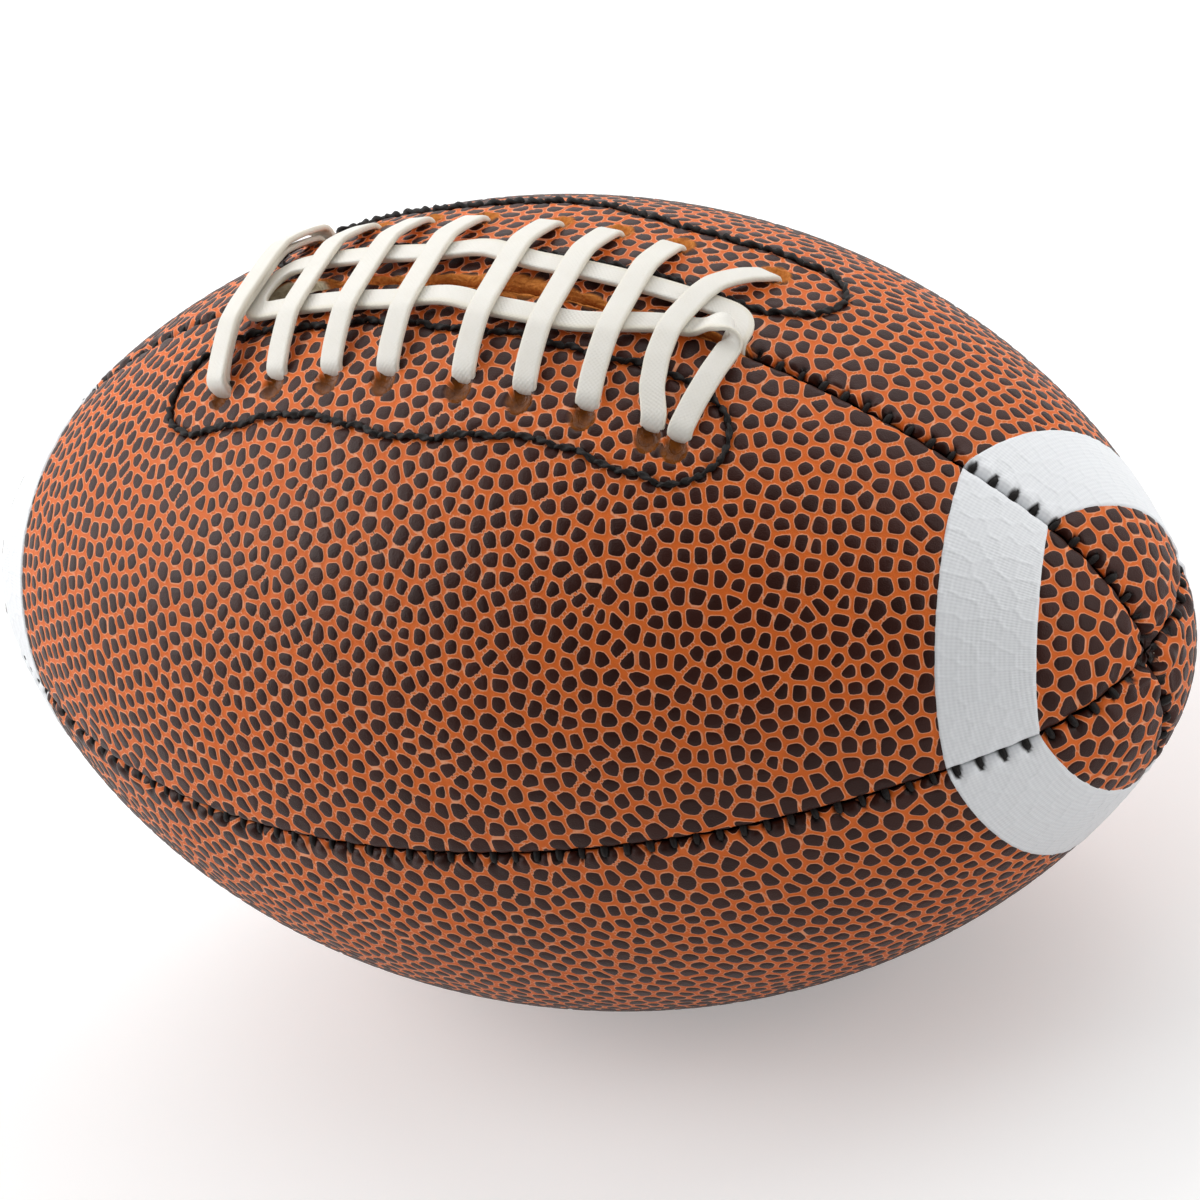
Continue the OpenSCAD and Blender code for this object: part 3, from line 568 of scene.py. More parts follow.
def embossed_cover():
    """PU coated cover: dark satin pebbles, printed on the tops of an embossed orange ground. The pale ring
    on the ground round each pebble is a painted highlight. The near black in the stitch pits, down in the
    seams and in the valve's hole is painted shade.
    """
    material, tree = new_material("embossed_pu_cover")
    place = add(tree, "TexCoord", output="Object")
    fine, broad, grit, nap, clouds = (
        add(tree, "TexNoise", {"Vector": place, "Scale": per_mm(size), "Detail": detail})
        for size, detail in ((0.5, 2), (14, 3), (0.24, 2), (0.7, 4), (1.3, 3))
    )
    pebble, shade, raw, backing, glue, pit = (
        add(tree, "Attribute", output="Fac", attribute_name=name)
        for name in ("pebble", "tone", "raw", "backing", "glue", "pit")
    )
    # the noise makes the printed edge a little ragged
    ragged = add(tree, "Math", {0: fine, 1: 0.06, 2: -0.03}, operation="MULTIPLY_ADD")
    inside = add(tree, "Math", {0: pebble, 1: ragged})
    top, rim = (
        add(tree, "MapRange", {"Value": inside, "From Min": GROUND_HALF + low,
                               "From Max": GROUND_HALF + high}, interpolation_type="SMOOTHSTEP")
        for low, high in ((-0.03, 0.07), (-0.16, -0.03))
    )
    # painted highlight: a pale ring on the ground round each pebble, standing in for light caught by the
    # pebble's sloped edge
    painted_rim_highlight = add(tree, "Math", {0: rim, 1: 0.7}, operation="MULTIPLY")
    dark = paint(tree, [(1, shade, "#2b1008", "#381810")])
    ground = paint(tree, [(1, broad, "#d8631f", "#e2702a"), (painted_rim_highlight, 0, "#f8b48e", "#f8b48e")])
    grain = add(tree, "Mix", {0: top, 6: ground, 7: dark}, 2, data_type="RGBA")
    # frayed nap, cloth backing and old glue cover the grain, and painted shade darkens the stitch pits,
    # partly the black thread in them, the bottom of the seams and the valve's hole
    colour = paint(tree, [
        (raw, nap, "#9a4712", "#ea9a4a"),
        (backing, nap, "#a89a7e", "#d9cfb8"),
        (glue, clouds, "#2a120a", "#a8601c"),
        (pit, 0, "#140b09", "#140b09"),
    ], grain)

    roughness = add(tree, "MapRange", {"Value": top, "To Min": 0.5, "To Max": 0.42})
    for share, value in ((raw, 0.95), (glue, 0.14), (pit, 0.25)):
        roughness = add(tree, "Mix", {0: share, 2: roughness, 3: value})

    height = add(tree, "Math", {0: grit, 1: 0.09}, operation="MULTIPLY")
    raw_nap = add(tree, "Math", {0: nap, 1: raw}, operation="MULTIPLY")
    for part, share in ((top, 0.08), (raw_nap, 0.5)):
        height = add(tree, "Math", {0: part, 1: share, 2: height}, operation="MULTIPLY_ADD")
    return finish(material, colour, roughness, height, others={"Specular IOR Level": 0.2})


def white_film():
    """Screen printed vinyl film over woven scrim: bright satin white with a faint square weave."""
    material, tree = new_material("printed_vinyl_film")
    scrim = weave(tree, 0.78, "ADD")
    place = add(tree, "TexCoord", output="Object")
    soft = add(tree, "TexNoise", {"Vector": place, "Scale": per_mm(5), "Detail": 3})
    # the scrim shows more in some places than in others
    strength = add(tree, "MapRange", {"Value": soft, "From Min": 0.35, "From Max": 0.65, "To Min": 0.002,
                                      "To Max": 0.014})
    height = add(tree, "Math", {0: scrim, 1: strength}, operation="MULTIPLY")
    shade = add(tree, "MapRange", {"Value": scrim, "From Min": -2, "From Max": 2})
    # the pit coat is painted shade at the stitches beside the seams, partly their black thread
    pit = add(tree, "Attribute", output="Fac", attribute_name="pit")
    colour = paint(tree, [(1, shade, "#e6e8eb", "#f0f2f4"), (pit, 0, "#171210", "#171210")])
    return finish(material, colour, 0.48, height)


def lace_leatherette():
    """Flat lace of soft off-white leatherette: satin, with a fine even grain and creamy edges."""
    material, tree = new_material("flat_leatherette_lace")
    uv = add(tree, "UVMap", uv_map="UVMap")
    across = add(tree, "SeparateXYZ", {0: uv}, "Y")
    edge = add(tree, "Math", {0: across}, operation="ABSOLUTE")
    near_edge = add(tree, "MapRange", {"Value": edge, "From Min": LACE_WIDTH * 0.36,
                                       "From Max": LACE_WIDTH * 0.52})
    grain, cloud = (
        add(tree, "TexNoise", {"Vector": uv, "Scale": 1 / size, "Detail": 3}) for size in (0.28, 4.0)
    )
    colour = paint(tree, [(1, cloud, "#e3dfd5", "#ebe8e1"), (near_edge, 0, "#e2dccd", "#e2dccd")])
    fine = add(tree, "Math", {0: grain, 1: 0.035}, operation="MULTIPLY")
    # a weave of threads 0.8 mm apart shows through the coating
    threads = weave(tree, 0.8, "MULTIPLY")
    height = add(tree, "Math", {0: threads, 1: 0.016, 2: fine}, operation="MULTIPLY_ADD")
    soft = {"Subsurface Weight": 0.08, "Subsurface Radius": (0.0012, 0.001, 0.0008)}
    return finish(material, colour, 0.45, height, others=soft)


def waxed_thread():
    """Black waxed polyester thread: dark, with a dull shine along the fibres."""
    material, tree = new_material("waxed_polyester_thread")
    uv = add(tree, "UVMap", uv_map="UVMap")
    # fibres about 0.45 mm long, and much narrower round the thread
    stretched = add(tree, "Mapping", {"Vector": uv, "Scale": (1, 9, 1)})
    fibres = add(tree, "TexNoise", {"Vector": stretched, "Scale": 2.2, "Detail": 3})
    height = add(tree, "Math", {0: fibres, 1: 0.12}, operation="MULTIPLY")
    colour = paint(tree, [(1, fibres, "#0b0909", "#211c1a")])
    return finish(material, colour, 0.6, height, others={"Specular IOR Level": 0.25})


def plain_cloth(name, dark, light, thread):
    """Plain woven cloth of two tones. Real threads are too fine to show, so its waves are drawn about
    six times as long as the thread width, which is in millimetres."""
    material, tree = new_material(name)
    place = add(tree, "TexCoord", output="Object")
    waves = [
        add(tree, "TexWave", {"Vector": place, "Scale": per_mm(thread) / 20, "Distortion": 0.4}, "Fac",
            bands_direction=way)
        for way in ("X", "Y")
    ]
    threads = add(tree, "Math", {0: waves[0], 1: waves[1]}, operation="MULTIPLY")
    return finish(material, paint(tree, [(1, threads, dark, light)]), 0.85, threads, 0.4, 0.2)


def moulded_rubber(name, dark, light):
    """Moulded black rubber: dull, with a faint cloudy bloom."""
    material, tree = new_material(name)
    place = add(tree, "TexCoord", output="Object")
    bloom = add(tree, "TexNoise", {"Vector": place, "Scale": per_mm(6), "Detail": 4})
    return finish(material, paint(tree, [(1, bloom, dark, light)]), 0.6, bloom, 0.3, 0.2)


# Panels


# How deep the lace holes, the valve hole and the patch's seam lie in the cover
HOLE_DEPTH = 1.5
VALVE_DEPTH = 1.8
SEWN_DIP = 0.32

# How far the lips of the opening stand up over the cover
LIP_RISE = 0.5

# Near a tip: height and two wave lengths of the folds beside the seams, how far the cover is drawn in
# there, and how far it dips at the very end
FOLD_RISE = 0.26
LONG_FOLD = 7.3
SHORT_FOLD = 4.7
DRAWN_IN = 0.55
POLE_DIP = 1.1


def grain_relief(points, depth, field):
    """Height of the grain: the ground lies lower than the pebbles, less and less down a rolled edge,
    and all of it lies low under a stripe's film."""
    under_film = stripe_cover(points)
    sunk = (smooth(GROUND_HALF - 0.18, GROUND_HALF + 0.3, field) - 1) * PEBBLE_RELIEF
    return sunk * smooth(2.2, 0.4, depth) * (1 - under_film) - PEBBLE_RELIEF * under_film


def lace_hole_relief(quarter, height, holes):
    """Height with round bowls sunk into it at the lace holes, and the shares of glue and of frayed
    coating. The front holes are sealed with glue, the rear ones have a frayed rim that stands up."""
    dish = smooth(1.08, 0.86, holes)
    bowl = HOLE_DEPTH * np.sqrt(np.clip(1 - (holes * 0.98) ** 2, 0, 1))
    height = height * (1 - dish) - bowl * dish
    none = np.zeros_like(holes)
    if quarter == "front_upper":
        return height + 0.12 * bell(holes - 1.12, 0.12), smooth(1.02, 0.86, holes), none
    return height + 0.3 * bell(holes - 1.1, 0.2), none, smooth(1.3, 1.1, holes)


def lip_relief(quarter, x, side, depth, opened):
    """Height of the lips along the opening, and the share of frayed coating: on the bent lip itself,
    and beside it, most of all about the middle of the laces."""
    rise = (LIP_RISE + wander(x, 13, 0.25)) * opened * smooth(4.2, 1.2, side)
    bent = opened * smooth(0.3, 0.7, depth) * smooth(3, 2, side)
    most = 2.6 if quarter == "rear_upper" else 1.4
    width = 0.8 + most * bell(x - LACE_MIDDLE - 6, 15) + wander(x, 9, 0.7)
    return rise, np.maximum(bent, opened * smooth(width + 0.3, width - 0.3, side))


def panel_relief(quarter, run, points, depth, sides, field, holes, sewn, valve):
    """Height over the smooth surface and the marks that the material reads, for one panel: the grain,
    the pull of both seams, then the lace holes, the sewn row and the lip of an upper panel, or the
    valve's hole. sides are the distances beside the top or bottom seam and beside the other one, sewn
    the distance from the sewn row, holes and valve the shares of the way to a hole's edge."""
    x = points[..., 0]
    upper = holes is not None
    opened = over_opening(x, 1.5, 1.5) * upper
    stitch = along_stitches(run)
    height = grain_relief(points, depth, field)
    pit, raw, glue = np.zeros((3, *x.shape))
    for side, closed, shown in zip(sides, (1 - opened, 1.0), STITCHED_SIDES[quarter]):
        height = height + seam_pull(stitch, side, shown) * closed
        stitch_pit_shade = stitch_mark(stitch, side) * shown
        # painted shade: dark drops at the shown stitches, partly their thread, and dark down at the seam's
        # bottom
        pit = np.maximum(pit, np.maximum(stitch_pit_shade, smooth(0.32, 0.18, side)) * closed)
    if upper:
        height, glue, frayed_rim = lace_hole_relief(quarter, height, holes)
        height = height - SEWN_DIP * bell(sewn, 0.85) + 0.1 * bell(sewn - 2, 1)
        rise, frayed_lip = lip_relief(quarter, x, sides[0], depth, opened)
        height = height + rise
        raw = np.maximum(frayed_rim, frayed_lip)
    # where the opening gapes, its wall shows the pale backing
    backing = opened * smooth(0.15, 0.5, depth) * smooth(LACE_X[1] - 1, LACE_X[1] - 3, x)
    if quarter == "rear_lower":
        height = height - VALVE_DEPTH * smooth(1.16, 1.04, valve) + 0.15 * bell(valve - 1.35, 0.2)
        # painted shade down the valve's hole
        pit = np.maximum(pit, smooth(1.14, 1.06, valve))
    return height, {"pit": pit, "raw": raw, "glue": glue, "backing": backing}


def make_panels(cover):
    """The four panels of the cover, on one grid that is mirrored to each quarter. Gives the middles of
    the pebbles."""
    # the grid ends just short of the tips, where all its columns would meet in one point
    end = PANEL_RUN - 0.03
    rows = np.linspace(-end, end, PANEL_ROWS)
    run = np.broadcast_to(rows[:, None], (PANEL_ROWS, FACE_COLUMNS + 2 * ROLL_COLUMNS))
    turn, depth = seam_frame(run)
    points, normals, reach = surface(run, turn)
    # near the tips there is less room for the turned in edges
    depth = depth * np.minimum(1, reach / 5)
    sides = reach * np.sin(turn), reach * np.cos(turn)

    cut = points - normals * depth[..., None]
    areas = np.linalg.norm(np.cross(np.gradient(cut, axis=0), np.gradient(cut, axis=1)), axis=-1)
    seeds = grow_pebbles(cut.reshape(-1, 3), areas.ravel())
    field, tones = (values.reshape(turn.shape) for values in pebble_field(cut.reshape(-1, 3), seeds))
    holes = {quarter: hole_distance(points, *sizes) for quarter, sizes in LACE_HOLES.items()}
    valve = np.hypot(points[..., 0], reach * (turn - VALVE_TURN)) / VALVE_RADIUS
    sewn = loop_distance(points)

    # near the tip the four panels are drawn in, with loose folds beside the seams
    nose = smooth(BODY_RUN - 8, BODY_RUN + 8, np.abs(run))
    beside = FOLD_RISE * sum(bell(side - 3, 3) for side in sides)
    drawn_in = DRAWN_IN * sum(bell(side, 2.6) for side in sides)
    pole_dip = POLE_DIP * bell(reach, 3.5)
    faces = grid_faces(*turn.shape)
    for quarter, (y_side, z_side, turned) in QUARTERS.items():
        own_field, own_tones = (values[::-1] if turned else values for values in (field, tones))
        own_turn, own_depth, own_points, own_normals = turn, depth, points, normals
        if quarter in holes:
            own_turn, own_depth, own_points, own_normals = open_edge(run, turn, depth, points)
        height, marks = panel_relief(quarter, run, own_points, own_depth, sides, own_field,
                                     holes.get(quarter), sewn, valve)
        waves = np.sin(2 * np.pi * np.abs(run) / LONG_FOLD + 1.7 * y_side + own_turn * 5)
        waves = waves + 0.7 * np.sin(2 * np.pi * np.abs(run) / SHORT_FOLD + 2.1 * z_side - own_turn * 4)
        height = height - own_depth - pole_dip + nose * (waves * beside - drawn_in)
        shaped = own_points + own_normals * height[..., None]
        values = {"pebble": own_field, "tone": own_tones, **marks}
        piece = make_piece("cover_" + quarter, at_quarter(shaped, quarter), faces, cover, values,
                           flip=is_mirrored(quarter))
        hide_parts("panel_" + quarter)
    return seeds


# Width of the bent lip along the opening
CUT_ROLL = 0.9


def open_edge(run, turn, depth, points):
    """The grid of an upper panel, whose top edge is cut straight down along the opening. The columns of
    the rolled edge become the cut edge there, which stands off the seam, and the face beside it is
    pushed aside, less and less away from the seam."""
    x = points[..., 0]
    here = over_opening(x, 2, 1)
    reach = surface(run, turn)[2]
    side = reach * np.sin(turn)
    gap = opening_gap(x)
    column = np.arange(turn.shape[1])
    # each column's share of the way from the face to the cut's wall, and its depth
    share = np.concatenate([[1, 1], np.linspace(1, 0, ROLL_STEPS)])
    cut_depth = np.concatenate([[3.2, 2.0], np.linspace(0.7, 0, ROLL_STEPS) ** 2])
    rest = len(column) - ROLL_COLUMNS
    share = np.pad(share, (0, rest))
    cut_depth = np.pad(cut_depth, (0, rest))
    cut_side = gap + (1 - share) * CUT_ROLL
    pushed = side + (gap + CUT_ROLL - EDGE_REACH) * smooth(6.0, EDGE_REACH, side)
    new_side = side + (np.where(column < ROLL_COLUMNS, cut_side, pushed) - side) * here
    near_top = column < len(column) // 2
    new_turn = np.where(near_top, np.arcsin(np.clip(new_side / np.maximum(reach, 1e-6), 0, 1)), turn)
    new_depth = np.where(near_top, depth + (cut_depth - depth) * here, depth)
    new_points, new_normals, _ = surface(run, new_turn)
    return new_turn, new_depth, new_points, new_normals


# Stripes


def stripe_run(start, bow, columns):
    """Run of a bowed stripe edge at each of a grid's columns, found by stepping along the surface."""
    run = np.full((1, columns), start + 6.0)
    for _ in range(8):
        points, normals, _ = surface(run, seam_frame(run)[0])
        miss = stripe_edge(across_panel(points), start, bow) - points[..., 0]
        run = run + miss / np.sqrt(1 - normals[..., 0] ** 2)
    return run


FILM_COLUMNS = 240
FILM_ROWS = 40

# Height of the film over the cover, of the grain's ridges that it bridges, and its turned down edge
FILM_HEIGHT = 0.07
RIDGE_HEIGHT = 0.11
EDGE_DROP = 0.35


def make_stripes(film, seeds):
    """Eight films, each on a grid between its two bowed edges that follows the panel's rolled edges
    down into both seams. The edges that face along the ball are turned down on to the cover."""
    columns = FILM_COLUMNS + 2 * ROLL_COLUMNS
    inner, outer = (stripe_run(*edge, columns) for edge in STRIPE_EDGES)
    lap = 0.01
    along = np.concatenate([[-lap], np.linspace(0, 1, FILM_ROWS), [1 + lap]])[:, None]
    run = inner + (outer - inner) * along
    turn, depth = seam_frame(run)
    points, normals, reach = surface(run, turn)
    side_top, side_front = reach * np.sin(turn), reach * np.cos(turn)
    stitch = along_stitches(run)
    uv = np.stack([run, turn * 45], -1)
    for end, sign in (("right", 1), ("left", -1)):
        for quarter, (_, _, turned) in QUARTERS.items():
            ends = sign * (-1 if turned else 1)
            field, _ = pebble_field((points * [ends, 1, 1]).reshape(-1, 3), seeds)
            ridges = bell(field.reshape(turn.shape), 0.2)
            shows = STITCHED_SIDES[quarter]
            pull = seam_pull(stitch, side_top, shows[0]) + seam_pull(stitch, side_front, shows[1])
            # painted shade: dark drops at the shown stitches, partly their thread, for the film's material
            stitch_pit_shade = np.maximum(stitch_mark(stitch, side_top) * shows[0],
                              stitch_mark(stitch, side_front) * shows[1])
            height = FILM_HEIGHT + RIDGE_HEIGHT * ridges - depth + pull
            height[[0, -1]] -= EDGE_DROP
            shaped = (points + normals * height[..., None]) * [sign, 1, 1]
            flip = is_mirrored(quarter) != (sign < 0)
            piece = make_piece(f"stripe_film_{end}_{quarter}", at_quarter(shaped, quarter),
                               grid_faces(*turn.shape), film, {"pit": stitch_pit_shade}, uv, flip)
            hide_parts(f"stripe_{end}_{quarter}")


# Threads


def sweep(path, across, up, section):
    """Rings of points: each path point plus the section's two measures along across and up."""
    return (path[..., None, :] + section[..., 0:1] * across[..., None, :]
            + section[..., 1:2] * up[..., None, :])


def round_section(radius, angle):
    """A section's two measures, from its radius at each angle."""
    return np.stack([radius * np.cos(angle), radius * np.sin(angle)], -1)


# Length of one turn of a thread's two plies about each other, half of it, and of one patch stitch
PLY_PITCH = 2.3
PATCH_STITCH = 3.6


def make_patch_threads(thread):
    """Two twisted threads sewn round the patches: a two-lobed section that turns along the loop, and
    dips into the cover at each stitch."""
    count, sides = 760, 10
    places, at, total = patch_loop(count)
    x, y = places[:, 0], -places[:, 1]
    dip = bell((at % PATCH_STITCH) - PATCH_STITCH / 2, 0.45)
    path = skin(x, y, 0.2 - 0.55 * dip)
    way = unit(np.roll(path, -1, 0) - np.roll(path, 1, 0))
    across = unit(np.cross(way, skin_ways(x, y)[2]))
    up = np.cross(across, way)
    angle = np.linspace(0, 2 * np.pi, sides, endpoint=False)[None, :]
    twist = (np.pi * round(total / PLY_PITCH) * at / total)[:, None]
    lobes = 0.8 + 0.36 * np.cos(2 * (angle - twist))
    radius = PATCH_THREAD * 0.66 * lobes * (1 - 0.2 * dip[:, None])
    rings = sweep(path, across, up, round_section(radius, angle))
    rings = np.concatenate([rings, rings[:1]])
    uv = np.stack(np.broadcast_arrays(np.append(at, total)[:, None], angle / 6), -1)
    faces = grid_faces(count + 1, sides, closed=True)
    for side, sign in (("front", 1), ("rear", -1)):
        piece = make_piece("sewn_thread_" + side, rings * [1, sign, 1], faces, thread, uv=uv,
                           flip=sign > 0)
        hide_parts("patch_thread_" + side)


# One stitch: distance beside the seam, height over the surface, and share of the thread's radius. It
# comes up out of the seam's bottom, lies on the rolled edge of one panel and goes down into it.
STITCH = np.array([
    [-0.5, -2.0, 0.6], [-0.32, -1.45, 0.9], [-0.1, -1.15, 1.05], [0.15, -1.0, 1.2], [0.45, -0.75, 1.2],
    [0.8, -0.52, 1.1], [1.05, -0.5, 0.95], [1.25, -0.65, 0.75], [1.38, -1.0, 0.5], [1.42, -1.5, 0.3],
])


STITCH_LEAN = 0.35
STITCH_RADIUS = 0.5


def make_seam_threads(thread):
    """Stitches across the four seams. Each is a ring of six sides carried along the stitch's path, and
    leans a little along the seam."""
    side, height, swell = STITCH.T
    steps, sides = len(STITCH), 6
    angle = np.linspace(0, 2 * np.pi, sides, endpoint=False)
    rng = np.random.default_rng(3)
    # quarter turns round the ball, and the way from the hidden end of a stitch to the one that shows
    seams = {"top": (0, 1), "front": (1, -1), "bottom": (2, -1), "rear": (3, 1)}
    for name, (quarter_turns, shown_way) in seams.items():
        middle = (np.arange(STITCH_COUNT) + 0.5) * STITCH_PITCH
        middle = np.concatenate([-middle[::-1], middle])
        if name == "top":
            x = BODY_ARC * np.sin(middle / BODY_ARC)
            middle = middle[(x < OPENING_START - STITCH_PITCH) | (x > OPENING_END + STITCH_PITCH)]
        count = len(middle)
        lean = rng.normal(STITCH_LEAN, 0.15, count)[:, None]
        thick = rng.normal(STITCH_RADIUS, 0.05, count)[:, None]
        run = middle[:, None] + lean * side / 2
        points, normals, _ = surface(run, beside_seam(run, np.abs(side)))
        path = points + normals * height[:, None]
        path[..., 1] *= -np.sign(side * shown_way)
        way = unit(np.gradient(path, axis=1))
        across = unit([1.0, 0, 0] - way[..., :1] * way)
        up = np.cross(way, across)
        rings = sweep(path, across, up, round_section((thick * swell)[..., None], angle))
        for _ in range(quarter_turns):
            rings = np.stack([rings[..., 0], -rings[..., 2], rings[..., 1]], -1)
        along = np.linspace(0, 4, steps)[None, :, None] + middle[:, None, None]
        uv = np.stack(np.broadcast_arrays(along, angle / 6), -1)
        faces = np.concatenate([grid_faces(steps, sides, True, k * steps * sides) for k in range(count)])
        piece = make_piece("stitches_" + name, rings, faces, thread, uv=uv)
        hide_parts("seam_thread_" + name)


# The lace

# Depths under the cover: the lining's bottom, and the lace's runs below the patch
LINING_BOTTOM = 2.85
PATCH_THICKNESS = 0.9
LACE_RUN_DEPTH = LINING_BOTTOM + LAYER_GAP + PATCH_THICKNESS + 2 * LAYER_GAP + LACE_THICKNESS / 2
DOUBLE_RUN_DEPTH = LACE_RUN_DEPTH + LACE_THICKNESS + 2 * CROSSING_GAP

# Heights of the strip's middle over the cover: on a crossing, at a hole, and where the fold comes back
CROSSING_HEIGHT = STRAND_HEIGHT + CROSSING_GAP + LACE_THICKNESS
REST_HEIGHT = LACE_THICKNESS / 2 + CROSSING_GAP
FOLD_HEIGHT = 2.4

# How far the first lay of the doubled crossing lies beside the second one
DOUBLE_SHIFT = -LACE_WIDTH * 0.24

# Radius of the strip's flat turn at its start, and of its bends at a hole
TURN_RADIUS = LACE_WIDTH * 0.95
BEND = LACE_THICKNESS * 0.9
SOFT_BEND = BEND * 0.3
SLOPE_SHARES = (0.35, 0.7)
STRAND_STEPS = 28
ALONG = (1.0, 0.0, 0.0)


def width_at(degrees):
    """Way of the lace's width where it runs flat at an angle from +X."""
    return math.sin(math.radians(degrees)), -math.cos(math.radians(degrees)), 0.0


def front_strand_y(x):
    """Place across of the front strand, which drifts towards the rear one past the sixth crossing."""
    share = min(1.0, max(0.0, (x - LACE_X[5]) / (LACE_X[7] - LACE_X[5])))
    return -STRAND_OFFSET + STRAND_DRIFT * share * share * (3 - 2 * share)


def slack(x):
    """How loose both strands lie, most of all between the two middle crossings."""
    return bell(x - (LACE_X[3] + LACE_X[4]) / 2 + LACE_SLANT / 2, 6.5)


def shaft(x, side, offset, low, top):
    """A lace's way through the cover at one side, from below to the top."""
    return [
        (x, side * (offset - BEND), -low, ALONG),
        (x, side * (offset - SOFT_BEND), -low + SOFT_BEND, ALONG),
        (x, side * offset, -low + BEND, ALONG),
        (x, side * offset, top - BEND, ALONG),
        (x, side * (offset - SOFT_BEND), top - SOFT_BEND, ALONG),
        (x, side * (offset - BEND), top, ALONG),
    ]


def half_span(k, shift, side, strand, offset, lift):
    """Half of a crossing: flat over the strand that lies at a distance from the seam, and from there
    in a straight slope down to the hole."""
    outer = strand + LACE_WIDTH * 0.76 + lift * 0.6
    places = [(strand, CROSSING_HEIGHT), (outer, CROSSING_HEIGHT)]
    for share in SLOPE_SHARES:
        places.append((outer + (offset - BEND - outer) * share,
                       CROSSING_HEIGHT + (REST_HEIGHT - CROSSING_HEIGHT) * share))
    return [(leaned(k, side * y) + shift, side * y, height + lift, ALONG) for y, height in places]


def crossing(k, shift, offset, lift, low_from, low_to):
    """A whole crossing from the rear hole over to the front hole."""
    top = REST_HEIGHT + lift
    rear_x = leaned(k, LACE_HOLE_OFFSET) + shift
    front_x = leaned(k, -LACE_HOLE_OFFSET) + shift
    front_strand = -front_strand_y(leaned(k, 0))
    return (shaft(rear_x, 1, offset, low_from, top)
            + half_span(k, shift, 1, STRAND_OFFSET, offset, lift)[::-1]
            + half_span(k, shift, -1, front_strand, offset, lift)
            + shaft(front_x, -1, offset, low_to, top)[::-1])


def inner_run(from_x, to_x, from_offset, to_offset, depth):
    """The lace's run inside the ball, from a front hole to a rear hole."""
    return [
        (from_x + (to_x - from_x) * share, (BEND - from_offset) * (1 - share) + (to_offset - BEND) * share,
         -depth, ALONG)
        for share in (0.25, 0.5, 0.75)
    ]


def fold_point(degrees, fold_x):
    """A point of the strand's fold, which rolls over a slanted line and comes back underneath."""
    radius = LACE_THICKNESS / 2 + CROSSING_GAP * 2
    slant = math.radians(-45)
    a = math.radians(degrees)
    travel = radius * math.pi * math.cos(slant) / -math.sin(slant) * degrees / 180
    line = np.array([math.cos(slant), math.sin(slant), 0])
    out = np.array([-math.sin(slant), math.cos(slant), 0])
    at = travel * line + radius * math.sin(a) * out
    ahead = out * math.cos(a) - np.array([0, 0, math.sin(a)])
    wide = line * -math.sin(slant) - ahead * math.cos(slant)
    height = FOLD_HEIGHT + radius * (1 + math.cos(a))
    return fold_x + at[0], front_strand_y(fold_x) + at[1], height, tuple(wide)


